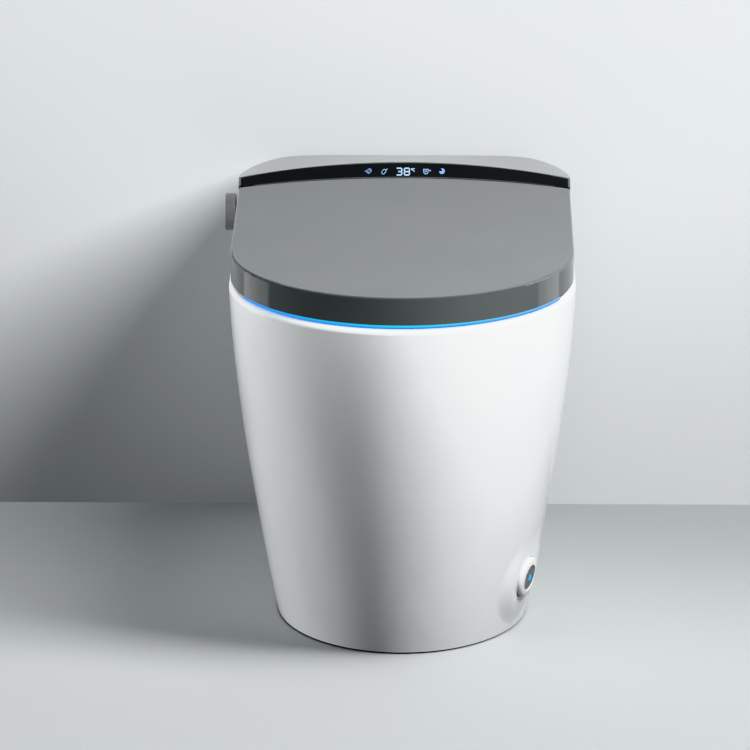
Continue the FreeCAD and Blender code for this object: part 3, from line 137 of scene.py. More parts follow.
def newFinish(name):
    material = bpy.data.materials.new(name)
    material.use_nodes = True
    tree = material.node_tree
    shader = tree.nodes["Principled BSDF"]
    return material, tree, shader


def addNode(tree, kind, **values):
    node = tree.nodes.new(kind)
    for key, value in values.items():
        setattr(node, key, value)
    return node


def grainFactor(tree, scale, stretch, detail=grainSet["detail"]):
    # noise on object coordinates, drawn out by the stretch
    place = addNode(tree, "ShaderNodeTexCoord")
    mapping = addNode(tree, "ShaderNodeMapping")
    mapping.inputs["Scale"].default_value = stretch
    noise = addNode(tree, "ShaderNodeTexNoise")
    noise.inputs["Scale"].default_value = scale
    noise.inputs["Detail"].default_value = detail
    tree.links.new(place.outputs["Object"], mapping.inputs["Vector"])
    tree.links.new(mapping.outputs["Vector"], noise.inputs["Vector"])
    return noise.outputs["Fac"]


def spread(tree, factor, low, high):
    span = addNode(tree, "ShaderNodeMapRange")
    span.inputs["From Min"].default_value = grainSet["low"]
    span.inputs["From Max"].default_value = grainSet["high"]
    span.inputs["To Min"].default_value = low
    span.inputs["To Max"].default_value = high
    tree.links.new(factor, span.inputs["Value"])
    return span.outputs["Result"]


def tint(tree, factor, first, second):
    ramp = addNode(tree, "ShaderNodeValToRGB")
    ramp.color_ramp.elements[0].position = grainSet["low"]
    ramp.color_ramp.elements[0].color = (*first, 1.0)
    ramp.color_ramp.elements[1].position = grainSet["high"]
    ramp.color_ramp.elements[1].color = (*second, 1.0)
    tree.links.new(factor, ramp.inputs["Fac"])
    return ramp.outputs["Color"]


def axisRamp(tree, position, axis, span):
    # colour ramp that runs along one axis of the position, from the span's start to its end
    split = addNode(tree, "ShaderNodeSeparateXYZ")
    share = addNode(tree, "ShaderNodeMapRange")
    share.inputs["From Min"].default_value = span[0]
    share.inputs["From Max"].default_value = span[1]
    ramp = addNode(tree, "ShaderNodeValToRGB")
    tree.links.new(position, split.inputs["Vector"])
    tree.links.new(split.outputs[axis], share.inputs["Value"])
    tree.links.new(share.outputs["Result"], ramp.inputs["Fac"])
    return ramp


def surfaceFinish(name, look):
    # two near tones, a stretch of roughness and a fine relief, each from a grain of its own scale
    material, tree, shader = newFinish(name)
    stretch = look.get("stretch", grainSet["even"])
    tone = grainFactor(tree, look["toneScale"], stretch)
    tree.links.new(tint(tree, tone, look["colour"], look["colour2"]), shader.inputs["Base Color"])
    wear = grainFactor(tree, look["wearScale"], stretch)
    tree.links.new(spread(tree, wear, *look["rough"]), shader.inputs["Roughness"])
    relief = addNode(tree, "ShaderNodeBump")
    relief.inputs["Strength"].default_value = look["relief"]
    relief.inputs["Distance"].default_value = look["reliefDepth"]
    ripple = grainFactor(tree, look["reliefScale"], stretch, grainSet["reliefDetail"])
    tree.links.new(ripple, relief.inputs["Height"])
    tree.links.new(relief.outputs["Normal"], shader.inputs["Normal"])
    shader.inputs["Metallic"].default_value = look.get("metal", 0.0)
    shader.inputs["Coat Weight"].default_value = look.get("coat", 0.0)
    shader.inputs["Coat Roughness"].default_value = look.get("coatRough", 0.05)
    shader.inputs["IOR"].default_value = look.get("ior", 1.5)
    shader.inputs["Specular IOR Level"].default_value = look.get("gloss", 0.5)
    return material


finishes = {
    # fired glaze: white with a breath of grey, a faint orange-peel wave
    "glaze": surfaceFinish("glazedCeramic", {
        "colour": (0.83, 0.85, 0.85), "colour2": (0.87, 0.885, 0.885), "toneScale": 9.0,
        "rough": (0.10, 0.16), "wearScale": 14.0,
        "relief": 0.05, "reliefDepth": 0.0004, "reliefScale": 60.0,
        "coat": 0.35, "coatRough": 0.04, "ior": 1.52}),
    # polished grey moulding of the lid and the rear cover
    "greyGloss": surfaceFinish("greyGlossMoulding", {
        "colour": (0.060, 0.067, 0.067), "colour2": (0.070, 0.077, 0.077), "toneScale": 11.0,
        "rough": (0.09, 0.14), "wearScale": 22.0,
        "relief": 0.03, "reliefDepth": 0.0003, "reliefScale": 90.0,
        "coat": 0.2, "coatRough": 0.03, "ior": 1.5}),
    # white moulding of the seat and the small caps
    "whiteGloss": surfaceFinish("whiteGlossMoulding", {
        "colour": (0.80, 0.82, 0.82), "colour2": (0.84, 0.86, 0.86), "toneScale": 12.0,
        "rough": (0.16, 0.24), "wearScale": 26.0,
        "relief": 0.03, "reliefDepth": 0.0003, "reliefScale": 140.0}),
    # black strip of the display, kept nearly free of reflections
    "blackGlass": surfaceFinish("blackDisplayGlass", {
        "colour": (0.012, 0.0125, 0.0135), "colour2": (0.015, 0.0155, 0.0165), "toneScale": 20.0,
        "rough": (0.08, 0.13), "wearScale": 30.0,
        "relief": 0.02, "reliefDepth": 0.0002, "reliefScale": 80.0,
        "gloss": 0.02}),
    # inner mouldings with a fine matt texture
    "darkMould": surfaceFinish("darkMoulding", {
        "colour": (0.018, 0.018, 0.02), "colour2": (0.03, 0.03, 0.033), "toneScale": 60.0,
        "rough": (0.42, 0.58), "wearScale": 90.0,
        "relief": 0.25, "reliefDepth": 0.0002, "reliefScale": 900.0}),
    "paleMould": surfaceFinish("paleMoulding", {
        "colour": (0.58, 0.59, 0.59), "colour2": (0.64, 0.65, 0.65), "toneScale": 40.0,
        "rough": (0.36, 0.5), "wearScale": 80.0,
        "relief": 0.2, "reliefDepth": 0.0002, "reliefScale": 700.0}),
    # seals and bumpers
    "rubberDark": surfaceFinish("darkRubber", {
        "colour": (0.012, 0.012, 0.012), "colour2": (0.022, 0.022, 0.022), "toneScale": 80.0,
        "rough": (0.6, 0.8), "wearScale": 120.0,
        "relief": 0.4, "reliefDepth": 0.0003, "reliefScale": 1100.0}),
    "rubberPale": surfaceFinish("paleRubber", {
        "colour": (0.52, 0.53, 0.53), "colour2": (0.6, 0.61, 0.61), "toneScale": 80.0,
        "rough": (0.5, 0.7), "wearScale": 120.0,
        "relief": 0.3, "reliefDepth": 0.0003, "reliefScale": 900.0}),
    # metals, with the grain drawn out along one axis
    "steel": surfaceFinish("satinSteel", {
        "colour": (0.50, 0.51, 0.53), "colour2": (0.60, 0.61, 0.63), "toneScale": 60.0,
        "rough": (0.22, 0.36), "wearScale": 120.0,
        "relief": 0.2, "reliefDepth": 0.0001, "reliefScale": 500.0,
        "stretch": (1.0, 1.0, 18.0), "metal": 1.0}),
    "brass": surfaceFinish("turnedBrass", {
        "colour": (0.58, 0.40, 0.15), "colour2": (0.68, 0.49, 0.20), "toneScale": 70.0,
        "rough": (0.2, 0.34), "wearScale": 140.0,
        "relief": 0.2, "reliefDepth": 0.0001, "reliefScale": 600.0,
        "stretch": (1.0, 14.0, 1.0), "metal": 1.0}),
    # circuit board and the seat's heating film
    "board": surfaceFinish("greenBoard", {
        "colour": (0.008, 0.09, 0.03), "colour2": (0.02, 0.15, 0.055), "toneScale": 260.0,
        "rough": (0.3, 0.5), "wearScale": 300.0,
        "relief": 0.3, "reliefDepth": 0.0002, "reliefScale": 500.0}),
    "film": surfaceFinish("heaterFilm", {
        "colour": (0.33, 0.15, 0.03), "colour2": (0.45, 0.24, 0.06), "toneScale": 150.0,
        "rough": (0.3, 0.45), "wearScale": 200.0,
        "relief": 0.2, "reliefDepth": 0.0002, "reliefScale": 400.0}),
    # side knob and the foot button's disc
    "frosted": surfaceFinish("frostedGrey", {
        "colour": (0.27, 0.275, 0.275), "colour2": (0.33, 0.335, 0.335), "toneScale": 50.0,
        "rough": (0.2, 0.32), "wearScale": 90.0,
        "relief": 0.15, "reliefDepth": 0.0002, "reliefScale": 700.0}),
    "discGrey": surfaceFinish("greyDisc", {
        "colour": (0.085, 0.095, 0.1), "colour2": (0.105, 0.115, 0.12), "toneScale": 90.0,
        "rough": (0.3, 0.42), "wearScale": 120.0,
        "relief": 0.15, "reliefDepth": 0.0002, "reliefScale": 800.0}),
}

# lit plastic: what the band, the foot lamp and the signs have in common
litSet = {"base": (0.01, 0.04, 0.06), "centre": 0.5, "gloss": 0.15, "wearScale": 120.0, "rough": (0.25, 0.4)}


def underGlow(tree, position, glow, look):
    # height above the deck is the position's share along the deck's normal
    tilt = math.radians(deckTilt["tilt"])
    height = addNode(tree, "ShaderNodeVectorMath", operation="DOT_PRODUCT")
    height.inputs[1].default_value = (0.0, -math.sin(tilt), math.cos(tilt))
    foot = deckTilt["rimZ"] * math.cos(tilt) - deckTilt["frontY"] * math.sin(tilt)
    span = addNode(tree, "ShaderNodeMapRange")
    span.inputs["From Min"].default_value = foot + look["underSpan"][0]
    span.inputs["From Max"].default_value = foot + look["underSpan"][1]
    blend = addNode(tree, "ShaderNodeMix", data_type="RGBA")
    # a colour mix has its factor at socket 0, its colours at 6 and 7 and its result at output 2
    blend.inputs[6].default_value = (*look["under"], 1.0)
    tree.links.new(position, height.inputs[0])
    tree.links.new(height.outputs["Value"], span.inputs["Value"])
    tree.links.new(span.outputs["Result"], blend.inputs[0])
    tree.links.new(glow, blend.inputs[7])
    return blend.outputs[2]


def litFinish(name, look):
    # the hue runs with x from the look's left colour through its middle to its right colour,
    # and where the look has an under colour, it takes over towards the piece's foot
    material, tree, shader = newFinish(name)
    position = addNode(tree, "ShaderNodeTexCoord").outputs["Object"]
    ramp = axisRamp(tree, position, "X", look["span"])
    ramp.color_ramp.elements[0].color = (*look["left"], 1.0)
    ramp.color_ramp.elements[1].color = (*look["right"], 1.0)
    ramp.color_ramp.elements.new(litSet["centre"]).color = (*look["middle"], 1.0)
    glow = ramp.outputs["Color"]
    if "under" in look:
        glow = underGlow(tree, position, glow, look)
    tree.links.new(glow, shader.inputs["Emission Color"])
    shader.inputs["Base Color"].default_value = (*litSet["base"], 1.0)
    shader.inputs["Emission Strength"].default_value = look["strength"]
    shader.inputs["Specular IOR Level"].default_value = litSet["gloss"]
    wear = grainFactor(tree, litSet["wearScale"], grainSet["even"])
    tree.links.new(spread(tree, wear, *litSet["rough"]), shader.inputs["Roughness"])
    return material


finishes["bandLight"] = litFinish("bandLight", {
    "left": (0.02, 0.32, 1.0), "middle": (0.01, 0.78, 1.0), "right": (0.22, 0.57, 1.0),
    "span": (-0.18, 0.18), "strength": 1.0, "under": (0.03, 0.27, 1.0), "underSpan": (0.0012, 0.0031)})
finishes["lampLight"] = litFinish("lampLight", {
    "left": (0.03, 0.45, 0.90), "middle": (0.04, 0.50, 0.95), "right": (0.03, 0.45, 0.90),
    "span": (0.13, 0.17), "strength": 0.9})
finishes["symbolLight"] = litFinish("symbolLight", {
    "left": (0.10, 0.20, 0.62), "middle": (0.58, 0.79, 1.0), "right": (0.24, 0.44, 0.92),
    "span": (-0.06, 0.06), "strength": 1.1})
print("finishes made:", len(finishes))

# which nodes wear which finish
nodeFinish = {
    "glaze": ["ceramic_rim", "ceramic_front", "ceramic_left_side", "ceramic_right_side",
              "ceramic_rear_left", "ceramic_rear_right", "ceramic_inlet_corner", "ceramic_back",
              "ceramic_tray", "ceramic_bowl", "trapway"],
    "greyGloss": ["lid", "rear_cover"],
    "whiteGloss": ["bolt_caps", "seat_top", "seat_bottom", "nozzle_wand", "foot_button_bezel",
                   "dryer_flap"],
    "blackGlass": ["display_panel"],
    "darkMould": ["lid_damper", "seat_damper", "control_box", "power_gland", "flush_pump",
                  "blower_housing", "blower_impeller", "knob_encoder", "foot_button_switch"],
    "paleMould": ["chassis", "hinge_posts", "water_heater", "dryer_duct", "nozzle_guide",
                  "nozzle_pinion"],
    "rubberDark": ["floor_gasket", "outlet_seal"],
    "rubberPale": ["lid_bumpers", "seat_bumpers", "inlet_hose", "flush_hose"],
    "steel": ["floor_brackets", "side_screws", "lid_shaft", "seat_shaft", "chassis_bolts",
              "cover_screws", "blower_motor", "nozzle_tip", "nozzle_motor", "knob_shaft"],
    "brass": ["inlet_valve", "knob_carrier"],
    "board": ["display_board"],
    "film": ["seat_heater"],
    "frosted": ["knob_cap", "knob_bezel"],
    "discGrey": ["foot_button"],
    "bandLight": ["light_band"],
    "lampLight": ["foot_button_lamp"],
}
for finishName, members in nodeFinish.items():
    for member in members:
        mesh = nodes[member].data
        mesh.materials.clear()
        mesh.materials.append(finishes[finishName])
print("nodes finished:", sum(len(members) for members in nodeFinish.values()))

# lit signs on the black strip, drawn in millimetres as they are seen and laid back on its slope
signSet = {
    "halfWidth": 0.1975, "lipMid": 0.129, "lipEnd": 0.084,
    "ridgeMid": (0.163, 0.0463), "ridgeEnd": (0.107, 0.042), "lidTop": 0.0365,
    "row": 0.1410, "layBack": 1.82, "lift": 0.0003, "thick": 0.0002,
    "unit": 0.001, "fine": 0.7, "sharpest": 0.5, "arcSteps": 25,
}


def onStrip(x, y, lift):
    # front slope of the cover: straight from the lip up to the ridge, both drawing in with the square of x
    k = (x / signSet["halfWidth"]) ** 2
    lipY = signSet["lipMid"] + (signSet["lipEnd"] - signSet["lipMid"]) * k
    ridgeY = signSet["ridgeMid"][0] + (signSet["ridgeEnd"][0] - signSet["ridgeMid"][0]) * k
    ridgeZ = signSet["ridgeMid"][1] + (signSet["ridgeEnd"][1] - signSet["ridgeMid"][1]) * k
    slope = (ridgeZ - signSet["lidTop"]) / (ridgeY - lipY)
    return onDeck(x, y, ridgeZ - slope * (ridgeY - y) + lift)


def ribbon(points, width=signSet["fine"], closed=False):
    # flat band of even width along a line: each point moves half a width along the line's normal,
    # and further at a bend, so that the band keeps its width there
    path = np.asarray(points, float)
    ahead = np.roll(path, -1, axis=0) - path
    back = path - np.roll(path, 1, axis=0)
    if not closed:
        ahead[-1] = back[-1]
        back[0] = ahead[0]
    ahead /= np.linalg.norm(ahead, axis=1, keepdims=True)
    back /= np.linalg.norm(back, axis=1, keepdims=True)
    way = ahead + back
    way /= np.linalg.norm(way, axis=1, keepdims=True)
    normal = np.stack([-way[:, 1], way[:, 0]], axis=1)
    square = np.stack([-ahead[:, 1], ahead[:, 0]], axis=1)
    mitre = 1.0 / np.maximum(np.abs((normal * square).sum(1)), signSet["sharpest"])
    side = normal * (mitre * width / 2)[:, None]
    band = np.stack([path + side, path - side], axis=0)
    return band.reshape(-1, 2), gridFaces(2, len(path), wrapColumns=closed)


def arcLine(centre, radii, start, end, count=signSet["arcSteps"]):
    # ellipse arc, angles in degrees from +x
    turn = np.radians(np.linspace(start, end, count))
    x = centre[0] + radii[0] * np.cos(turn)
    y = centre[1] + radii[1] * np.sin(turn)
    return np.stack([x, y], axis=1)


def signPiece(name, place, bands):
    # the bands side by side in one mesh, their middle at the place along the strip
    starts = np.cumsum([0] + [len(points) for points, quads in bands])
    faces = np.concatenate([quads + start for (points, quads), start in zip(bands, starts)])
    flat = np.concatenate([points for points, quads in bands]) * signSet["unit"]
    x = place + flat[:, 0]
    y = signSet["row"] + flat[:, 1] * signSet["layBack"]
    verts = onStrip(x, y, signSet["lift"])
    piece = addPiece(name, verts, faces, "pedestal", finishes["symbolLight"], smooth=False)
    skin = piece.modifiers.new("thickness", "SOLIDIFY")
    skin.thickness = signSet["thick"]
    skin.offset = 0.0


# digits: a three of two hooks, and an eight of two rounded boxes
digitSet = {
    "place": -0.0018, "width": 6.2, "height": 8.2, "corner": 1.7, "stroke": 1.4, "left": -7.8,
    "gap": 3.0, "waist": 0.8, "tongue": 0.3, "cornerSteps": 7,
}


def digitCorner(x, y, height, start, end):
    # quarter arc of a digit's corner, as high as the height says
    radii = (digitSet["corner"], height)
    return arcLine((x, y), radii, start, end, digitSet["cornerSteps"])


def roundedBox(left, bottom, width, height):
    # rounded rectangle outline, anticlockwise from its lower right corner
    corner = digitSet["corner"]
    right, top = left + width - corner, bottom + height - corner
    left, bottom = left + corner, bottom + corner
    turns = ((right, bottom, 270), (right, top, 0), (left, top, 90), (left, bottom, 180))
    return np.concatenate([digitCorner(x, y, corner, angle, angle + 90) for x, y, angle in turns])


def makeDigits():
    width, half = digitSet["width"], digitSet["height"] / 2
    corner, stroke, left = digitSet["corner"], digitSet["stroke"], digitSet["left"]
    bend = left + width - corner
    waist = corner * digitSet["waist"]
    upper = np.concatenate([
        [(left, half)], digitCorner(bend, half - corner, corner, 90, 0),
        digitCorner(bend, waist, waist, 0, -90), [(left + width * digitSet["tongue"], 0.0)]])
    lower = np.concatenate([
        digitCorner(bend, -waist, waist, 90, 0),
        digitCorner(bend, corner - half, corner, 0, -90), [(left, -half)]])
    second = left + width + digitSet["gap"]
    signPiece("displayDigits", digitSet["place"], [
        ribbon(upper, stroke), ribbon(lower, stroke),
        ribbon(roundedBox(second, 0.0, width, half), stroke, True),
        ribbon(roundedBox(second, -half, width, half), stroke, True)])


# degree sign: a small ring and an open bow
degreeSet = {
    "place": 0.0104, "ring": (-1.7, 3.0), "ringRadii": (0.75, 0.75), "ringSpan": (0, 345), "ringSteps": 16,
    "bow": (0.9, 2.1), "bowRadii": (1.3, 1.6), "bowSpan": (50, 310),
}


def makeDegree():
    ring = arcLine(degreeSet["ring"], degreeSet["ringRadii"], *degreeSet["ringSpan"], degreeSet["ringSteps"])
    bow = arcLine(degreeSet["bow"], degreeSet["bowRadii"], *degreeSet["bowSpan"])
    signPiece("displayDegree", degreeSet["place"], [ribbon(ring, closed=True), ribbon(bow)])


# warm air: a swirl of two loops with a tail
fanSet = {
    "place": -0.0427, "turns": 1.55, "steps": 30, "start": 1.2, "growth": 2.3, "flat": 0.85,
    "tail": (-3.0, 0.4), "tailRadii": (1.8, 1.4), "tailSpan": (180, 300),
}


def makeFan():
    # each loop is a spiral whose radius grows evenly with its angle, and the second is the first turned round
    turn = np.linspace(0, fanSet["turns"] * np.pi, fanSet["steps"])
    reach = fanSet["start"] + fanSet["growth"] * turn / turn[-1]
    swirl = np.stack([reach * np.cos(turn), fanSet["flat"] * reach * np.sin(turn)], axis=1)
    tail = arcLine(fanSet["tail"], fanSet["tailRadii"], *fanSet["tailSpan"])
    signPiece("displayFan", fanSet["place"], [ribbon(swirl), ribbon(-swirl), ribbon(tail)])


# water: a leaning drop with a jet
dropSet = {
    "place": -0.0244, "radii": (2.4, 2.6), "steps": 28, "pinch": 0.25, "lean": 0.9,
    "middle": (-0.6, -0.4), "jet": [(1.6, 0.8), (2.8, 2.2), (3.6, 3.4)],
}


def makeDrop():
    # an ellipse drawn out and in by the cosine of twice the angle from its lean
    turn = np.linspace(0, 2 * np.pi, dropSet["steps"], endpoint=False)
    oval = np.stack([np.cos(turn), np.sin(turn)], axis=1) * dropSet["radii"]
    drop = oval * (1 + dropSet["pinch"] * np.cos(2 * (turn - dropSet["lean"])))[:, None]
    signPiece("displayDrop", dropSet["place"], [
        ribbon(drop + dropSet["middle"], closed=True), ribbon(dropSet["jet"])])


# warm seat: a cup with a fold, and a small dot beside it
seatSet = {
    "place": 0.0255, "rim": (2.9, 2.6), "cup": (0.0, 0.2), "cupRadii": (2.7, 3.1), "cupSpan": (180, 360),
    "fold": [(-1.6, 1.1), (0.0, -0.4), (1.6, 1.1)],
    "dot": (5.0, 1.0), "dotRadii": (0.45, 0.45), "dotSpan": (0, 330), "dotSteps": 12, "dotStroke": 0.8,
}


def makeSeat():
    rimX, rimY = seatSet["rim"]
    bowl = arcLine(seatSet["cup"], seatSet["cupRadii"], *seatSet["cupSpan"])
    cup = np.concatenate([[(-rimX, rimY)], bowl, [(rimX, rimY)]])
    dot = arcLine(seatSet["dot"], seatSet["dotRadii"], *seatSet["dotSpan"], seatSet["dotSteps"])
    signPiece("displaySeat", seatSet["place"], [
        ribbon(cup, closed=True), ribbon(seatSet["fold"]), ribbon(dot, seatSet["dotStroke"], True)])


# night light: a filled moon
moonSet = {
    "place": 0.0448, "steps": 33, "outer": (0.0, 0.0), "outerRadii": (3.3, 3.3), "outerSpan": (-165, 115),
    "inner": (-1.4, 1.3), "innerRadii": (1.6, 1.6), "innerSpan": (-160, 95),
}


def makeMoon():
    # the gap between an outer and an inner arc
    outer = arcLine(moonSet["outer"], moonSet["outerRadii"], *moonSet["outerSpan"], moonSet["steps"])
    inner = arcLine(moonSet["inner"], moonSet["innerRadii"], *moonSet["innerSpan"], moonSet["steps"])
    fill = gridFaces(2, moonSet["steps"])[:, ::-1]
    signPiece("displayMoon", moonSet["place"], [(np.concatenate([outer, inner]), fill)])


makeDigits()
makeDegree()
makeFan()
makeDrop()
makeSeat()
makeMoon()
print("signs lit")

# skirt round the foot button: half width, front and nose of its rings, from the floor to the rim,
# and the angle and height of the button on it
skirtSet = {
    "foot": 0.002, "rim": deckTilt["rimZ"], "power": 1.43, "half": (0.1465, 0.1995),
    "front": (-0.306, deckTilt["frontY"]), "nose": (0.193, 0.201), "tilt": deckTilt["tilt"],
    "angle": 25.8, "height": 0.065, "rounds": 25, "step": 0.001,
}


def onSkirt(angle, z):
    # front half ellipse of the ring at a height, tipped by its share of the rim's tilt
    share = (z - skirtSet["foot"]) / (skirtSet["rim"] - skirtSet["foot"])
    k = 1 - (1 - share) ** skirtSet["power"]
    ends = [skirtSet[size] for size in ("half", "front", "nose")]
    half, front, nose = (low + (high - low) * k for low, high in ends)
    tilt = math.radians(skirtSet["tilt"]) * share
    reach = front + nose - nose * np.sin(angle) - skirtSet["front"][1]
    y = skirtSet["front"][1] + reach * np.cos(tilt)
    return np.stack([half * np.cos(angle), y, z + reach * np.sin(tilt)], axis=-1)


def skirtHeight(u, v, axis, point, across, up):
    # height of the skirt along the button's axis: angle and z are walked until their point lies at u, v
    plane = np.stack([across, up], axis=1)
    angle, z = math.radians(skirtSet["angle"]), skirtSet["height"]
    step = skirtSet["step"]
    slopes = np.stack([onSkirt(angle + step, z), onSkirt(angle, z + step)]) - onSkirt(angle, z)
    back = np.linalg.inv(slopes @ plane / step)
    goal = np.stack([u, v], axis=-1)
    walk = np.array([angle, z]) + goal @ back
    for _ in range(skirtSet["rounds"]):
        spot = onSkirt(walk[..., 0], walk[..., 1]) - point
        walk = walk + (goal - spot @ plane) @ back
    return (onSkirt(walk[..., 0], walk[..., 1]) - point) @ axis


# foot button: its pieces are profiles of radius and height over the wall, carried round its axis
footSet = {"lampHeight": 0.0061, "steps": 28, "columns": 120}
footWay = np.linspace(0, 1, footSet["steps"])
footTurn = np.linspace(0, 2 * np.pi, footSet["columns"], endpoint=False)


def footFrame():
    # the button's axis out of the wall, its point on the wall and two directions across it
    push = next(joint for joint in frame["joints"] if joint["name"] == "foot_push")
    axis = -np.array(push["axis"], float)
    low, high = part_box("foot_button_lamp")
    point = (np.array(low) + np.array(high)) / 2 - axis * footSet["lampHeight"]
    across = np.cross([0.0, 0.0, 1.0], axis)
    across /= np.linalg.norm(across)
    return axis, point, across, np.cross(axis, across)


def footRound(name, radius, rise, body, finish, closedRows=True):
    # the rise is given for each row, or for each row and column; an open profile has its ends capped
    axis, point, across, up = footFrame()
    ring = np.cos(footTurn)[:, None] * across + np.sin(footTurn)[:, None] * up
    rise = np.asarray(rise).reshape(len(radius), -1, 1)
    verts = point + np.asarray(radius)[:, None, None] * ring + rise * axis
    faces = gridFaces(len(radius), footSet["columns"], closedRows, True).tolist()
    if not closedRows:
        ends = np.arange(len(radius) * footSet["columns"]).reshape(len(radius), -1)
        faces += [ends[0].tolist(), ends[-1][::-1].tolist()]
    return addPiece(name, verts, faces, body, finishes[finish])


# flat ring round the disc: radius and height of its lip, and how far its top falls to the edge
ringSet = {
    "hole": 0.0053, "floor": 0.0011, "recess": 0.0149, "lipRadius": 0.0156, "lip": 0.0070,
    "lipBevel": 0.0004, "edge": 0.0240, "sunk": -0.0028,
    "drop": 0.0018, "dropPower": 2, "round": 0.0012, "roundPower": 8,
}


def makeFootRing():
    # out of the recess over the lip, then a fall with the square and the eighth power of the way to the edge
    hole, floor, recess = ringSet["hole"], ringSet["floor"], ringSet["recess"]
    lip, edge, sunk = ringSet["lip"], ringSet["edge"], ringSet["sunk"]
    topRadius = ringSet["lipRadius"] + (edge - ringSet["lipRadius"]) * footWay
    fall = ringSet["drop"] * footWay ** ringSet["dropPower"]
    topRise = lip - fall - ringSet["round"] * footWay ** ringSet["roundPower"]
    radius = np.concatenate([[hole, recess, recess], topRadius, [edge, hole]])
    rise = np.concatenate([[floor, floor, lip - ringSet["lipBevel"]], topRise, [sunk, sunk]])
    ring = footRound("footBezel", radius, rise, "pedestal", "whiteGloss")
    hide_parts("foot_button_bezel")


# glazed wall drawn up to the ring across a fine groove, less so on the side that looks down and forward
swellSet = {
    "start": 0.0246, "reach": 0.061, "rise": 0.0026, "lean": 0.35, "leanAngle": 240.0,
    "sink": 0.00007, "sinkPower": 4, "wall": 0.0030,
}


def makeFootSwell():
    # a smooth step from the raised edge into the skirt, ending just under it
    start, reach = swellSet["start"], swellSet["reach"]
    radius = start + (reach - start) * footWay
    u, v = np.outer(radius, np.cos(footTurn)), np.outer(radius, np.sin(footTurn))
    wall = skirtHeight(u, v, *footFrame())
    lean = swellSet["lean"] * (1 + np.cos(footTurn - math.radians(swellSet["leanAngle"]))) / 2
    edge = wall[0] * lean + swellSet["rise"] * (1 - lean)
    share = (footWay * footWay * (3 - 2 * footWay))[:, None]
    top = wall * share + edge * (1 - share) - swellSet["sink"] * share ** swellSet["sinkPower"]
    under = wall[[-1, 0]] - swellSet["wall"]
    radius = np.concatenate([radius, [reach, start]])
    rise = np.concatenate([top, under])
    footRound("footSwell", radius, rise, "pedestal", "glaze")


# domed lens over the lamp, on a short upright foot
lensSet = {"radius": 0.0039, "foot": 0.0056, "top": 0.0082, "pole": 0.0002}


def makeFootLens():
    # a quarter ellipse from the pole down to the shoulder, then the foot
    bow = np.linspace(np.pi / 2, 0, footSet["steps"])
    shoulder = footSet["lampHeight"]
    dome = lensSet["radius"] * np.cos(bow[1:])
    radius = np.concatenate([[lensSet["pole"]], dome, [lensSet["radius"]]])
    height = shoulder + (lensSet["top"] - shoulder) * np.sin(bow)
    rise = np.concatenate([height, [lensSet["foot"]]])
    lens = footRound("footLens", radius, rise, "foot_push_button", "lampLight",
                     closedRows=False)
    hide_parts("foot_button_lamp")


makeFootRing()
makeFootSwell()
makeFootLens()
print("foot button dressed")

# stage: pale floor and wall with painted shade that darkens them a little towards their corner, just behind
# the object
stageSet = {
    "gap": 0.002, "reach": 8.0, "depth": 1.5, "rough": 0.7, "gloss": 0.1,
    # near is the painted corner shade and far the plain paint: the floor darkens towards the wall, the wall
    # towards the floor
    "floor": {"axis": "Y", "span": (0.305, -0.45), "near": (0.51, 0.535, 0.54), "far": (0.76, 0.785, 0.79)},
    "wall": {"axis": "Z", "span": (0.0, 0.75), "near": (0.64, 0.665, 0.67), "far": (0.87, 0.90, 0.905)},
}


def stageFinish(name, look):
    # plain paint with painted shade along one axis, darker towards the corner where floor and wall meet,
    # clear from behind so that the back can be looked at
    material, tree, shader = newFinish(name)
    position = addNode(tree, "ShaderNodeTexCoord").outputs["Object"]
    ramp = axisRamp(tree, position, look["axis"], look["span"])
    ramp.color_ramp.interpolation = "EASE"
    # painted shade: the near colour darkens the plane towards the corner
    ramp.color_ramp.elements[0].color = (*look["near"], 1.0)
    ramp.color_ramp.elements[1].color = (*look["far"], 1.0)
    face = addNode(tree, "ShaderNodeNewGeometry")
    clear = addNode(tree, "ShaderNodeBsdfTransparent")
    either = addNode(tree, "ShaderNodeMixShader")
    tree.links.new(ramp.outputs["Color"], shader.inputs["Base Color"])
    shader.inputs["Roughness"].default_value = stageSet["rough"]
    shader.inputs["Specular IOR Level"].default_value = stageSet["gloss"]
    tree.links.new(face.outputs["Backfacing"], either.inputs["Fac"])
    tree.links.new(shader.outputs["BSDF"], either.inputs[1])
    tree.links.new(clear.outputs["BSDF"], either.inputs[2])
    tree.links.new(either.outputs["Shader"], tree.nodes["Material Output"].inputs["Surface"])
    return material


def stagePlane(name, corners, look):
    # corners in units of the stage's reach, from the line where floor and wall meet
    meet = np.array([0.0, cadBox[1][1] + stageSet["gap"], 0.0])
    verts = np.array(corners, float) * stageSet["reach"] + meet
    mesh = bpy.data.meshes.new(name)
    mesh.from_pydata(verts.tolist(), [], [(0, 1, 2, 3)])
    mesh.update()
    plane = bpy.data.objects.new(name, mesh)
    scene.collection.objects.link(plane)
    mesh.materials.append(stageFinish(name, look))
    plane.visible_diffuse = False  # throws no light back on the object
    return plane


depth = stageSet["depth"]
stagePlanes = [
    stagePlane("stageFloor", [(-1, -depth, 0), (1, -depth, 0), (1, 0, 0), (-1, 0, 0)], stageSet["floor"]),
    stagePlane("stageWall", [(-1, 0, 0), (1, 0, 0), (1, 0, 1), (-1, 0, 1)], stageSet["wall"]),
]

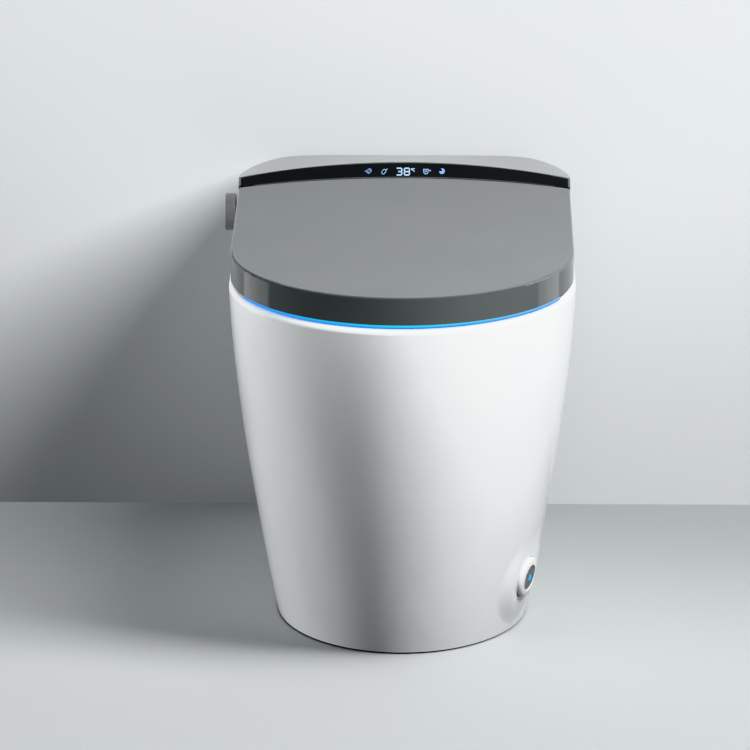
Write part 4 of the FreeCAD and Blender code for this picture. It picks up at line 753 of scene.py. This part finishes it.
# one soft light from the right, set apart for the wall, the floor and the object,
# a weaker one from the left, and two cards that only show in gloss
lampSet = {
    "wall": {"place": (4.02, -2.81, 4.42), "aim": (0.0, 0.0, 0.25), "size": (1.8, 3.4),
             "power": 740.0, "lights": ["stageWall"]},
    "floor": {"place": (4.57, -1.85, 6.30), "aim": (0.0, 0.0, 0.0), "size": (2.6, 7.5),
              "power": 615.0, "lights": ["stageFloor"]},
    "body": {"place": (0.87, -0.93, 1.46), "aim": (0.0, -0.2, 0.25), "size": (0.5, 0.5),
             "power": 56.0, "gloss": False},
    "side": {"place": (-2.2, 0.0, 1.1), "aim": (0.0, -0.1, 0.25), "size": (0.5, 0.9),
             "power": 50.0, "gloss": False},
    "leftCard": {"place": (-0.78, 0.055, 0.385), "aim": (0.0, 0.055, 0.385), "size": (0.48, 0.43),
                 "power": 0.55, "soft": False},
    "rightCard": {"place": (0.82, 0.08, 0.45), "aim": (0.0, 0.08, 0.45), "size": (0.42, 0.9),
                  "power": 1.0, "soft": False},
}


def makeLamps(lamps, planes):
    for name, lamp in lamps.items():
        data = bpy.data.lights.new(name + "Lamp", "AREA")
        data.shape = "RECTANGLE"
        data.size, data.size_y = lamp["size"]
        data.energy = lamp["power"]
        light = bpy.data.objects.new(name + "Lamp", data)
        light.location = lamp["place"]
        aim = Vector(lamp["aim"]) - Vector(lamp["place"])
        light.rotation_euler = aim.to_track_quat("-Z", "Y").to_euler()
        light.visible_camera = False
        light.visible_glossy = lamp.get("gloss", True)
        light.visible_diffuse = lamp.get("soft", True)
        scene.collection.objects.link(light)
        # a lamp of the stage reaches only the planes it names, and the others leave the stage out
        group = bpy.data.collections.new(name + "LampGroup")
        reached = lamp.get("lights", [])
        for plane in planes:
            if plane.name in reached or not reached:
                group.objects.link(plane)
        for member in group.collection_objects:
            member.light_linking.link_state = "INCLUDE" if reached else "EXCLUDE"
        light.light_linking.receiver_collection = group


# even light of the room: overhead, level with the eye and from below
roomLight = {
    "above": (0.19, 0.198, 0.202), "level": (0.165, 0.172, 0.176), "below": (0.015, 0.016, 0.017),
    "span": (-1.0, 1.0), "middle": 0.5,
}


def makeRoom(room):
    # the ramp runs with the height of the direction that the light comes from
    world = bpy.data.worlds.new("softRoom")
    scene.world = world
    world.use_nodes = True
    tree = world.node_tree
    direction = addNode(tree, "ShaderNodeTexCoord").outputs["Generated"]
    ramp = axisRamp(tree, direction, "Z", room["span"])
    ramp.color_ramp.elements[0].color = (*room["below"], 1.0)
    ramp.color_ramp.elements[1].color = (*room["above"], 1.0)
    ramp.color_ramp.elements.new(room["middle"]).color = (*room["level"], 1.0)
    tree.links.new(ramp.outputs["Color"], tree.nodes["Background"].inputs["Color"])


makeLamps(lampSet, stagePlanes)
makeRoom(roomLight)
print("stage lit")
